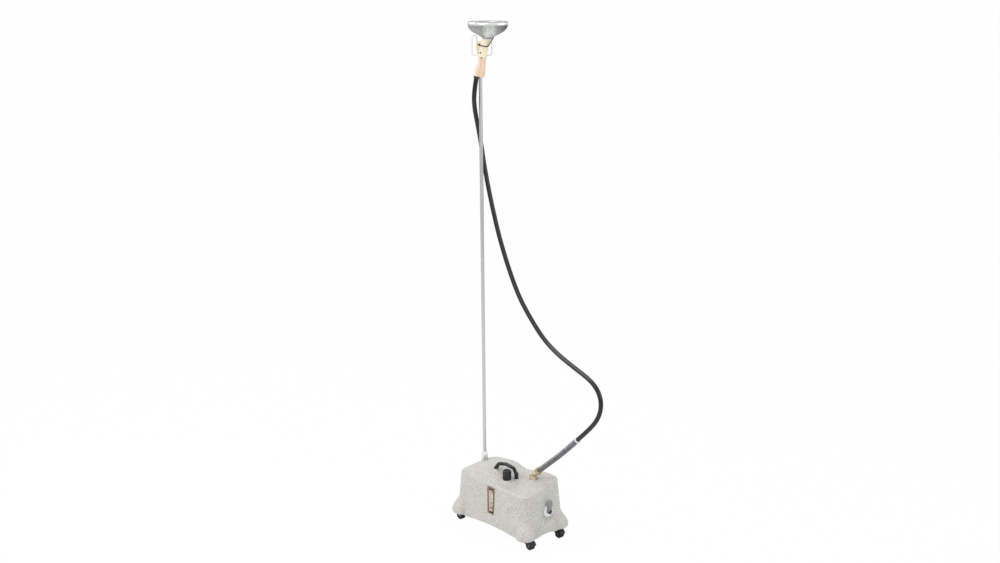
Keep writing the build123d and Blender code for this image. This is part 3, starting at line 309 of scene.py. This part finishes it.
def graded_melamine(cream_below, grey_above):
    """Cream melamine neck, turning pinkish grey towards the bowl: cream up to one height, and
    pinkish grey from the other."""
    material, tree = new_material("cream_to_pinkish_grey_melamine")
    place = object_coordinates(tree)
    height = add_node(tree, "ShaderNodeSeparateXYZ", {"Vector": place}).outputs["Z"]
    drift = add_node(tree, "ShaderNodeTexNoise", {
        "Vector": place, "Scale": 1 / (8 * mm), "Detail": 3})
    wander = add_node(tree, "ShaderNodeMapRange", {
        "Value": drift, "To Min": -4 * mm, "To Max": 4 * mm})
    wavy = add_node(tree, "ShaderNodeMath", {0: height, 1: wander}, operation="ADD")
    toward_bowl = add_node(tree, "ShaderNodeMapRange", {
        "Value": wavy, "From Min": cream_below, "From Max": grey_above})
    colour = add_node(tree, "ShaderNodeValToRGB", {"Fac": toward_bowl}, [
        (0.0, "#f9edd0"), (0.55, "#e6d8cc"), (1.0, "#bdb0aa")])
    grain = add_node(tree, "ShaderNodeTexNoise", {
        "Vector": place, "Scale": 1 / (0.9 * mm), "Detail": 3})
    end_material(tree, colour, 0.34, grain, 0.05 * mm, Coat_Weight=0.2, Coat_Roughness=0.08)
    return material


def lacquered_beech():
    """Turned beech under thin lacquer: pink-tan, with fine grain lines along the grip and
    short darker flecks."""
    material, tree = new_material("lacquered_beech")
    growth = add_node(tree, "ShaderNodeTexNoise", {
        "Vector": object_coordinates(tree, Scale=(1, 1, 0.07)), "Scale": 1 / (2.2 * mm),
        "Detail": 3, "Roughness": 0.6})
    flecks = add_node(tree, "ShaderNodeTexNoise", {
        "Vector": object_coordinates(tree, Scale=(1, 1, 0.25)), "Scale": 1 / (0.9 * mm)})
    wood = add_node(tree, "ShaderNodeValToRGB", {"Fac": growth}, [
        (0.28, "#deb795"), (0.48, "#f2d3b7"), (0.70, "#fbe7d2")])
    dark = add_node(tree, "ShaderNodeMapRange", {
        "Value": flecks, "From Min": 0.62, "From Max": 0.75, "To Max": 0.5})
    colour = add_node(tree, "ShaderNodeMix", {"Factor": dark, 6: wood, 7: linear("#b98b68")},
                      data_type="RGBA")
    end_material(tree, colour, 0.36, growth, 0.12 * mm, 0.4, Coat_Weight=0.3,
                 Coat_Roughness=0.15)
    return material


def gauge_fittings(middle, pale_half):
    """Cast gauge fittings: bronze, pinkish-tan as far as pale_half above and below the height of
    the glass's middle, and near black towards their outer ends."""
    material, tree = new_material("pale_to_black_gauge_bronze")
    place = object_coordinates(tree)
    height = add_node(tree, "ShaderNodeSeparateXYZ", {"Vector": place}).outputs["Z"]
    offset = add_node(tree, "ShaderNodeMath", {0: height, 1: middle}, operation="SUBTRACT")
    away = add_node(tree, "ShaderNodeMath", {0: offset}, operation="ABSOLUTE")
    grain = add_node(tree, "ShaderNodeTexNoise", {
        "Vector": place, "Scale": 1 / (2.5 * mm), "Detail": 3})
    wander = add_node(tree, "ShaderNodeMapRange", {
        "Value": grain, "To Min": -1.5 * mm, "To Max": 1.5 * mm})
    edge = add_node(tree, "ShaderNodeMath", {0: away, 1: wander}, operation="ADD")
    toward_ends = add_node(tree, "ShaderNodeMapRange", {
        "Value": edge, "From Min": pale_half - 2 * mm, "From Max": pale_half + 2 * mm})
    # pinkish-tan near the glass's middle, near black towards the fittings' outer ends
    colour = add_node(tree, "ShaderNodeValToRGB", {"Fac": toward_ends}, [
        (0.2, "#c4b1a0"), (0.8, "#3a322b")])
    gloss = add_node(tree, "ShaderNodeMapRange", {
        "Value": grain, "To Min": 0.32, "To Max": 0.50})
    end_material(tree, colour, gloss, grain, 0.06 * mm, 0.4, Metallic=0.6)
    return material


def card_with_painted_light(highlight_at):
    """Enamelled gauge card: pinkish beige, with a painted highlight up its middle that stands in
    for light through the glass, painted shade towards its sides, and a painted glow that stands
    in for the light caught in the recess."""
    material, tree = new_material("pink_beige_enamel_card")
    place = object_coordinates(tree)
    sideways = add_node(tree, "ShaderNodeSeparateXYZ", {"Vector": place}).outputs["X"]
    drift = add_node(tree, "ShaderNodeTexNoise", {"Vector": place, "Scale": 1 / (10 * mm)})
    wander = add_node(tree, "ShaderNodeMapRange", {
        "Value": drift, "To Min": -0.6 * mm, "To Max": 0.6 * mm})
    wavy = add_node(tree, "ShaderNodeMath", {0: sideways, 1: wander}, operation="ADD")
    offset = add_node(tree, "ShaderNodeMath", {0: wavy, 1: highlight_at}, operation="SUBTRACT")
    away = add_node(tree, "ShaderNodeMath", {0: offset}, operation="ABSOLUTE")
    share = add_node(tree, "ShaderNodeMapRange", {"Value": away, "From Max": 10 * mm})
    # painted highlight up the card's middle and painted shade towards its sides
    colour = add_node(tree, "ShaderNodeValToRGB", {"Fac": share}, [
        (0.15, "#fff7ec"), (0.42, "#ebddd0"), (0.95, "#ccbcae")])
    # painted glow: the card gives off light of its own colour
    end_material(tree, colour, 0.4, Emission_Color=colour, Emission_Strength=0.42)
    return material


def gauge_glass():
    """Borosilicate gauge glass: clear, faintly green, smooth, with drawn streaks."""
    material, tree = new_material("borosilicate_glass")
    streak = add_node(tree, "ShaderNodeTexNoise", {
        "Vector": object_coordinates(tree, Scale=(1, 1, 0.05)), "Scale": 1 / (2 * mm)})
    gloss = add_node(tree, "ShaderNodeMapRange", {
        "Value": streak, "To Min": 0.01, "To Max": 0.06})
    end_material(tree, linear("#f3f8f5"), gloss, Transmission_Weight=1.0, IOR=1.47)
    return material


def still_water():
    """Water standing in the glass: clear, with a faint haze."""
    material, tree = new_material("boiler_water")
    haze = add_node(tree, "ShaderNodeTexNoise", {
        "Vector": object_coordinates(tree), "Scale": 1 / (4 * mm), "Detail": 1})
    gloss = add_node(tree, "ShaderNodeMapRange", {
        "Value": haze, "To Min": 0.01, "To Max": 0.04})
    end_material(tree, linear("#e6ece6"), gloss, Transmission_Weight=1.0, IOR=1.333)
    return material


head_turn = radians(47)                 # of the bowl's long side, from +X
finishes = {
    "hammered_enamel": hammered_enamel(),
    "pole_aluminium": drawn_aluminium("bright_drawn_aluminium", "#cececd", 0.30),
    "cast_aluminium": cast_aluminium(shiny_highlight_band_from=1.7915, lip_from=1.8000,
                                     long_side=head_turn, left_end=-0.130, right_end=0.008),
    "head_plate_aluminium": drawn_aluminium("punched_aluminium_sheet", "#c8c8c8", 0.35),
    "zinc_steel": worked_metal("zinc_plated_sheet", "#a9adb0", 0.45, grain_size=4 * mm),
    "steel_screw": worked_metal("blackened_screw_steel", "#57524c", 0.40),
    "axle_steel": worked_metal("ground_steel_bar", "#b8b8b8", 0.25),
    "boiler_steel": worked_metal("brushed_stainless_steel", "#b9b9b6", 0.35),
    "element_sheath": worked_metal("heat_tinted_sheath", "#6b625b", 0.45),
    "brass": worked_metal("aged_turned_brass", "#6a5a45", 0.38, dark="#41362a"),
    "hose_brass": worked_metal("polished_cast_brass", "#e6dcc3", 0.24, dark="#ab966c",
                               patch_size=14 * mm),
    "bezel_chrome": worked_metal("chrome_plating", "#dcdcdc", 0.10, depth=0.01 * mm),
    "ring_chrome": worked_metal("bright_nickel_ring", "#e0e0e0", 0.14, depth=0.01 * mm),
    "guard_steel": worked_metal("spring_steel_wire", "#8b8c8e", 0.36, dark="#66676a"),
    "gauge_bronze": worked_metal("bronze_lacquer", "#9a8270", 0.46, dark="#7d685a"),
    "cradle_bronze": worked_metal("dark_bronze_wire", "#5d4a35", 0.38, dark="#41331f"),
    "bearing_nylon": moulded_plastic("black_nylon", "#1b1b1b", 0.5),
    "gland_plastic": moulded_plastic("gland_nylon", "#1d1d1e", 0.45),
    "cutoff_phenolic": moulded_plastic("brown_phenolic", "#2a2220", 0.45),
    "caster_plastic": moulded_plastic("glossy_black_moulding", "#08080a", 0.16),
    "wheel_plastic": moulded_plastic("hard_black_tread", "#101012", 0.30),
    "gasket_rubber": moulded_plastic("gasket_rubber", "#161616", 0.65),
    "cap_phenolic": moulded_plastic("polished_black_phenolic", "#151412", 0.24),
    "handle_plastic": moulded_plastic("glossy_black_handle", "#0d0c0c", 0.20),
    "lever_plastic": moulded_plastic("satin_grey_moulding", "#8b8d8f", 0.42),
    "sleeve_grey": moulded_plastic("cream_hanger_moulding", "#e9dcb8", 0.40),
    "loop_enamel": moulded_plastic("dipped_white_coating", "#f0eee6", 0.35),
    "collar_cream": moulded_plastic("cream_melamine", "#f9edd0", 0.34, coat=0.2),
    "grip_wood": lacquered_beech(),
    "hose_rubber": moulded_plastic("glossy_black_rubber", "#0a0a0b", 0.20),
    "gauge_glass": gauge_glass(),
}
satin_casting = worked_metal("satin_cast_socket", "#e8e8e6", 0.34, grain_size=1.6 * mm,
                             depth=0.08 * mm)
fittings_bronze = gauge_fittings(middle=0.137, pale_half=0.040)
# the neck's cream turns pinkish grey towards the bowl
graded_neck = graded_melamine(cream_below=1.736, grey_above=1.749)
# painted reflection: a white ring stands in for the white highlight on the chrome bezel
painted_reflection_white = moulded_plastic("white_painted_reflection_ring", "#efeee9", 0.30, coat=0.3)
hub_black = moulded_plastic("glossy_black_hub", "#0b0b0c", 0.22)
seam_dark = moulded_plastic("seam_sealant", "#2c2a27", 0.55)
gauge_card = card_with_painted_light(highlight_at=6.5 * mm)
water = still_water()

slot_of = {part["node"]: part["material_slot"] for part in frame["record"]["subparts"]}
body_of = {node: body for body, nodes in frame["record"]["behaviour"]["bodies"].items()
           for node in nodes}
for name, node in frame["nodes"].items():
    node.data.materials.clear()
    node.data.materials.append(finishes[slot_of[name]])


# ---------------------------------------------------------------- geometry trees
def new_tree(name, **sizes):
    """A geometry tree with a named input for each size, and its inputs."""
    tree = bpy.data.node_groups.new(name, "GeometryNodeTree")
    tree.interface.new_socket("Geometry", in_out="OUTPUT", socket_type="NodeSocketGeometry")
    tree.interface.new_socket("Geometry", in_out="INPUT", socket_type="NodeSocketGeometry")
    for label, kind in sizes.items():
        tree.interface.new_socket(label, in_out="INPUT", socket_type="NodeSocket" + kind)
    tree.interface.new_socket("Material", in_out="INPUT", socket_type="NodeSocketMaterial")
    return tree, tree.nodes.new("NodeGroupInput").outputs


def end_tree(tree, shape, material):
    """Makes real, smooth, dressed mesh of what the tree has shaped."""
    real = add_node(tree, "GeometryNodeRealizeInstances", {"Geometry": shape})
    even = add_node(tree, "GeometryNodeSetShadeSmooth", {"Geometry": real})
    dressed = add_node(tree, "GeometryNodeSetMaterial", {"Geometry": even, "Material": material})
    add_node(tree, "NodeGroupOutput", {"Geometry": dressed})


def grow(name, tree, mesh, **values):
    """A piece made by a geometry tree from a mesh, with the tree's inputs set."""
    piece = show(name, mesh)
    modifier = piece.modifiers.new(name, "NODES")
    modifier.node_group = tree
    for item in tree.interface.items_tree:
        if item.in_out == "INPUT" and item.name in values:
            modifier[item.identifier] = values[item.name]
    shaped = evaluated(piece)
    piece.modifiers.clear()
    piece.data = shaped
    return piece


def tube_tree():
    """A round tube along a line."""
    tree, given = new_tree("round_tube", Radius="Float", Sides="Int")
    line = add_node(tree, "GeometryNodeMeshToCurve", {"Mesh": given["Geometry"]})
    ring = add_node(tree, "GeometryNodeCurvePrimitiveCircle", {
        "Radius": given["Radius"], "Resolution": given["Sides"]})
    tube = add_node(tree, "GeometryNodeCurveToMesh", {
        "Curve": line, "Profile Curve": ring, "Fill Caps": True})
    end_tree(tree, tube, given["Material"])
    return tree


def coil_tree():
    """A close-wound wire coil round a line."""
    tree, given = new_tree("wire_coil", Radius="Float", Wire="Float", Turns="Int", Steps="Int")
    line = add_node(tree, "GeometryNodeMeshToCurve", {"Mesh": given["Geometry"]})
    untwisted = add_node(tree, "GeometryNodeSetCurveNormal", {"Curve": line})
    count = add_node(tree, "ShaderNodeMath", {0: given["Turns"], 1: given["Steps"]},
                     operation="MULTIPLY")
    even = add_node(tree, "GeometryNodeResampleCurve", {"Curve": untwisted, "Count": count})
    index = add_node(tree, "GeometryNodeInputIndex")
    turns = add_node(tree, "ShaderNodeMath", {0: index, 1: given["Steps"]}, operation="DIVIDE")
    angle = add_node(tree, "ShaderNodeMath", {0: turns, 1: 2 * pi}, operation="MULTIPLY")
    outward = add_node(tree, "ShaderNodeVectorRotate", {
        "Vector": add_node(tree, "GeometryNodeInputNormal"),
        "Axis": add_node(tree, "GeometryNodeInputTangent"), "Angle": angle})
    reach = add_node(tree, "ShaderNodeVectorMath", {0: outward, "Scale": given["Radius"]},
                     operation="SCALE")
    wound = add_node(tree, "GeometryNodeSetPosition", {"Geometry": even, "Offset": reach})
    wire = add_node(tree, "GeometryNodeCurvePrimitiveCircle", {
        "Radius": given["Wire"], "Resolution": 8})
    coil = add_node(tree, "GeometryNodeCurveToMesh", {
        "Curve": wound, "Profile Curve": wire, "Fill Caps": True})
    end_tree(tree, coil, given["Material"])
    return tree


round_tube, wire_coil = tube_tree(), coil_tree()

# ---------------------------------------------------------------- hose and its guard
hose_route = [Vector(point) / 1000 for point in (
    (133, 24, 257), (193, 24, 307), (252, 24, 358), (313, 24, 416), (357, 24, 459),
    (392, 24, 495), (415, 24, 529), (426, 24, 567), (420, 24, 605), (396, 24, 635),
    (356, 25, 655), (289, 26, 677), (215, 27, 704), (145, 29, 742), (77, 32, 803),
    (18, 36, 865), (-38, 42, 951), (-91, 49, 1049), (-130, 55, 1141), (-162, 59, 1232),
    (-185, 62, 1310), (-193, 59, 1368), (-195, 47, 1432), (-181, 18, 1503),
    (-161.4, -1.9, 1560), (-155.3, 4.6, 1611.3))]
hose_radius = 8 * mm
hose_line = centreline("hose_line", hose_route)
hose = grow("hose_tube", round_tube, thread("hose_line", hose_line), Radius=hose_radius,
            Sides=20, Material=finishes["hose_rubber"])
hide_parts("hose")

# the guard's wire is wound on the hose between its nut and its end ring
guard_low, guard_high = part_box("hose_guard")
in_nut, in_ring = 4 * mm, 6 * mm
coil_wire, coil_gap, coil_lift = 1.6 * mm, 0.3 * mm, 0.2 * mm
guard_line = [point for point in hose_line[:len(hose_line) // 3]
              if guard_low[0] + in_nut < point.x < guard_high[0] - in_ring]
guard_length = sum((a - b).length for a, b in zip(guard_line, guard_line[1:]))
guard = grow("spring_guard", wire_coil, thread("guard_line", guard_line),
             Radius=hose_radius + coil_lift, Wire=coil_wire, Steps=20,
             Turns=int(guard_length / (2 * coil_wire + coil_gap)),
             Material=finishes["guard_steel"])
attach(guard, "root")
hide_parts("hose_guard")
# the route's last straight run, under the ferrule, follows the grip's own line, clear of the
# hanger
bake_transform(hose)


# ---------------------------------------------------------------- softened copies
def softened(node, edge=0.0, material=None):
    """A smooth copy of a CAD node in its place, its edges rounded over by edge metres."""
    crease = 35
    mesh = frame["nodes"][node].data.copy()
    form = bmesh.new()
    form.from_mesh(mesh)
    bmesh.ops.remove_doubles(form, verts=form.verts, dist=0.002 * mm)
    if edge:
        bmesh.ops.dissolve_limit(form, angle_limit=radians(0.5), verts=form.verts,
                                 edges=form.edges)
    form.to_mesh(mesh)
    form.free()
    piece = show(node + "_finished", mesh, material or finishes[slot_of[node]])
    if edge:
        bevel = piece.modifiers.new("rounded_edges", "BEVEL")
        bevel.width = edge
        bevel.segments = 3
        bevel.limit_method = "ANGLE"
        bevel.angle_limit = radians(crease)
        bevel.miter_outer = "MITER_ARC"
        rounded = evaluated(piece)
        piece.modifiers.clear()
        piece.data = rounded
    smooth(piece.data, crease)
    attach(piece, body_of[node])
    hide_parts(node)


softened("pole_socket", 0.6 * mm, satin_casting)
softened("gauge_fittings", 0.6 * mm, fittings_bronze)
softened("head_neck", 0.4 * mm, graded_neck)
for node, edge in {
        "housing_shell": 0, "pole_lower": 0, "pole_upper": 0, "garment_loops": 0,
        "head_cradle": 0, "carry_handle": 0, "fill_neck": 0.3, "fill_cap": 0.8,
        "gauge_frame": 0.8, "switch_bezel": 0.6, "switch_lever": 0.9, "cord_gland": 0.4,
        "elbow_locknut": 0.5, "hose_elbow": 0.4, "hose_nut": 0.6, "hanger_sleeve": 0.5,
        "grip": 0.6, "grip_collar": 0.5, "steam_head": 0.6, "hose_ferrule": 0.5,
        "base_pan": 0.5, "grip_screws": 0.3}.items():
    softened(node, edge * mm)
for foot in ("front_left", "front_right", "rear_right", "rear_left"):
    softened("caster_hood_" + foot, 0.6 * mm)
    softened("caster_wheels_" + foot, 1.0 * mm)
    softened("caster_axle_" + foot, 0.4 * mm)


# ---------------------------------------------------------------- turned and flat pieces
def mesh_of(form, name):
    """The mesh of a bmesh, smooth between its sharper edges."""
    mesh = bpy.data.meshes.new(name)
    form.to_mesh(mesh)
    form.free()
    smooth(mesh, 40)
    return mesh


def add_turned(name, material, body, outline, origin, axis=(0, 0, 1), side=(1, 0, 0),
               squeeze=1.0, steps=48):
    """A lathe-turned piece that rides on a body: outline is (radius, height) pairs, turned
    about an axis through origin; squeeze narrows it across side."""
    up = Vector(axis).normalized()
    out = (Vector(side) - up * up.dot(Vector(side))).normalized()
    over = up.cross(out)
    form = bmesh.new()
    rows = []
    for k in range(steps):
        angle = 2 * pi * k / steps
        way = out * cos(angle) + over * sin(angle) * squeeze
        rows.append([form.verts.new(Vector(origin) + way * r + up * h) for r, h in outline])
    for k in range(steps):
        for a in range(len(outline)):
            b = (a + 1) % len(outline)
            form.faces.new((rows[k - 1][a], rows[k][a], rows[k][b], rows[k - 1][b]))
    bmesh.ops.remove_doubles(form, verts=form.verts, dist=0.0005 * mm)
    bmesh.ops.recalc_face_normals(form, faces=form.faces)
    piece = show(name, mesh_of(form, name), material)
    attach(piece, body)
    return piece


def bead(middle, height, radius, sides=10):
    """Outline of a round bead, as (radius, height) pairs."""
    angles = [2 * pi * k / sides for k in range(sides)]
    return [(middle + radius * cos(angle), height + radius * sin(angle)) for angle in angles]


def add_slab(name, material, low, high, edge, corner=0.0):
    """A flat plate of the root body that faces Y, between two corners: its edges are rounded
    by edge, and its outline's corners by corner."""
    form = bmesh.new()
    bmesh.ops.create_cube(form, size=1.0)
    size = Vector(high) - Vector(low)
    for vertex in form.verts:
        vertex.co = Vector(low) + Vector((vertex.co[i] + 0.5) * size[i] for i in range(3))
    if corner:
        through = [e for e in form.edges if abs(e.verts[0].co.y - e.verts[1].co.y) > size.y / 2]
        bmesh.ops.bevel(form, geom=through, offset=corner, segments=5, profile=0.5,
                        affect="EDGES")
    folds = [e for e in form.edges if e.calc_face_angle(0) > radians(35)]
    bmesh.ops.bevel(form, geom=folds, offset=edge, segments=2, profile=0.5, affect="EDGES")
    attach(show(name, mesh_of(form, name), material), "root")


# ---------------------------------------------------------------- water gauge
tube_low, tube_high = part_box("gauge_tube")
tube_middle = (Vector(tube_low) + Vector(tube_high)) / 2
wall = 1.3 * mm                 # of the glass, with a hair of room
bore = (tube_high[0] - tube_low[0]) / 2 - wall
bottom = tube_low[2] + 1 * mm
fullness = 0.38
level = (1 - fullness) * tube_low[2] + fullness * tube_high[2]
column = add_turned("water_column", water, "root", [
    (0, bottom), (bore, bottom), (bore, level + 0.8 * mm), (bore * 0.75, level + 0.2 * mm),
    (bore * 0.4, level), (0, level)], (tube_middle.x, tube_middle.y, 0), steps=32)

frame_low, frame_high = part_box("gauge_frame")
rim = 4.5 * mm                  # of the frame, all round the recess
front = frame_low[1] + 2.5 * mm
back = frame_high[1] - 2 * mm
card, cheek, apart = 0.8 * mm, 0.6 * mm, 0.1 * mm
# the back plate and cheeks carry the card's painted highlight, painted shade and painted glow
add_slab("gauge_back_plate", gauge_card, (frame_low[0] + rim, back - card, frame_low[2] + rim),
         (frame_high[0] - rim, back, frame_high[2] - rim), 0.2 * mm, 1.5 * mm)
for side, inner in (("left", frame_low[0] + rim), ("right", frame_high[0] - rim - cheek)):
    add_slab("gauge_cheek_" + side, gauge_card, (inner, front, frame_low[2] + rim),
             (inner + cheek, back - card - apart, frame_high[2] - rim), 0.1 * mm)

# ---------------------------------------------------------------- switch bezel: painted reflection ring and hub
bezel_low, bezel_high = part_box("switch_bezel")
lever_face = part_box("switch_lever")[1][0]
bezel_middle = (Vector(bezel_low) + Vector(bezel_high)) / 2
ring_floor = bezel_high[0] - 1.5 * mm
inside, outside, thick = 9.6 * mm, 19.0 * mm, 0.7 * mm
# a white ring on the bezel, painted in as the chrome's highlight
add_turned("switch_reflection_ring", painted_reflection_white, "root", [
    (inside, 0), (outside, 0), (outside, 0.5 * mm), (outside - 0.3 * mm, thick),
    (inside, thick)],
    (ring_floor, bezel_middle.y, bezel_middle.z), axis=(1, 0, 0), side=(0, 1, 0))
hub = 7.5 * mm
add_turned("switch_hub_cap", hub_black, "switch", [
    (0, -2.4 * mm), (hub, -2.4 * mm), (hub, 0), (hub * 0.85, 0.6 * mm), (hub * 0.4, 1.0 * mm),
    (0, 1.1 * mm)], (lever_face, bezel_middle.y, bezel_middle.z), axis=(1, 0, 0),
    side=(0, 1, 0))

# ---------------------------------------------------------------- steam head and pole
head_low, head_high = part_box("steam_head")
head_middle = (Vector(head_low) + Vector(head_high)) / 2
neck_long, neck_short = 17.2 * mm, 17.2 * 13 / 17 * mm      # of the seam, each way
add_turned("bowl_seam", seam_dark, "handpiece",
           bead(neck_long, head_low[2] + 0.2 * mm, 0.8 * mm), (head_middle.x, head_middle.y, 0),
           side=(cos(head_turn), sin(head_turn), 0), squeeze=neck_short / neck_long, steps=64)
joint_low, joint_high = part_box("pole_lower")
pole_middle = (Vector(joint_low) + Vector(joint_high)) / 2
add_turned("pole_joint_bead", finishes["pole_aluminium"], "root",
           bead(6.1 * mm, joint_high[2], 0.8 * mm), (pole_middle.x, pole_middle.y, 0))


# ---------------------------------------------------------------- light and floor
def rays(tree, *kinds):
    """1 for the named kinds of ray, 0 for the others."""
    path = add_node(tree, "ShaderNodeLightPath")
    seen = path.outputs[kinds[0]]
    for kind in kinds[1:]:
        seen = add_node(tree, "ShaderNodeMath", {0: seen, 1: path.outputs[kind]},
                        operation="MAXIMUM")
    return seen


def area_light(name, place, aim, size, power):
    """A soft square lamp turned towards a point."""
    lamp = bpy.data.objects.new(name, bpy.data.lights.new(name, "AREA"))
    lamp.data.size = size
    lamp.data.energy = power
    lamp.location = place
    lamp.rotation_euler = (Vector(aim) - Vector(place)).to_track_quat("-Z", "Y").to_euler()
    scene.collection.objects.link(lamp)


# a dim room lights the object, metal mirrors a brighter one, and the camera sees pure white
world = bpy.data.worlds.new("studio")
world.use_nodes = True
world.node_tree.nodes.clear()
scene.world = world
room, mirrored, backdrop = [
    add_node(world.node_tree, "ShaderNodeBackground", {"Color": linear(tint), "Strength": glow})
    for tint, glow in (("#f4f6f8", 0.60), ("#fbfcfc", 1.0), ("#ffffff", 1.0))]
around = add_node(world.node_tree, "ShaderNodeMixShader", {
    0: rays(world.node_tree, "Is Glossy Ray"), 1: room, 2: mirrored})
surround = add_node(world.node_tree, "ShaderNodeMixShader", {
    0: rays(world.node_tree, "Is Camera Ray", "Is Transmission Ray"), 1: around, 2: backdrop})
add_node(world.node_tree, "ShaderNodeOutputWorld", {"Surface": surround})

area_light("key", (-1.6, -3.0, 3.4), (0, 0, 0.7), 2.0, 57)
area_light("fill", (3.6, 0.6, 2.2), (0, 0, 0.6), 2.4, 24)
area_light("overhead", (-0.1, -0.1, 4.3), (0, 0, 0.2), 2.0, 36)
area_light("handpiece", (0.7, -1.5, 2.4), (-0.14, 0, 1.72), 0.7, 5)

# white paper floor: nearly pure white to the camera, with a trace of real shading left in it
far, whiteness = 30.0, 0.98
floor_mesh = bpy.data.meshes.new("floor")
floor_mesh.from_pydata([(-far, -far, 0), (far, -far, 0), (far, far, 0), (-far, far, 0)], [],
                       [(0, 1, 2, 3)])
paper, tree = new_material("white_paper_floor")
matt = add_node(tree, "ShaderNodeBsdfDiffuse", {"Color": linear("#ffffff")})
white = add_node(tree, "ShaderNodeEmission", {"Color": linear("#ffffff"), "Strength": 1.0})
share = add_node(tree, "ShaderNodeMath", {
    0: rays(tree, "Is Camera Ray", "Is Transmission Ray"), 1: whiteness}, operation="MULTIPLY")
sheet = add_node(tree, "ShaderNodeMixShader", {0: share, 1: matt, 2: white})
add_node(tree, "ShaderNodeOutputMaterial", {"Surface": sheet})
show("floor", floor_mesh, paper)
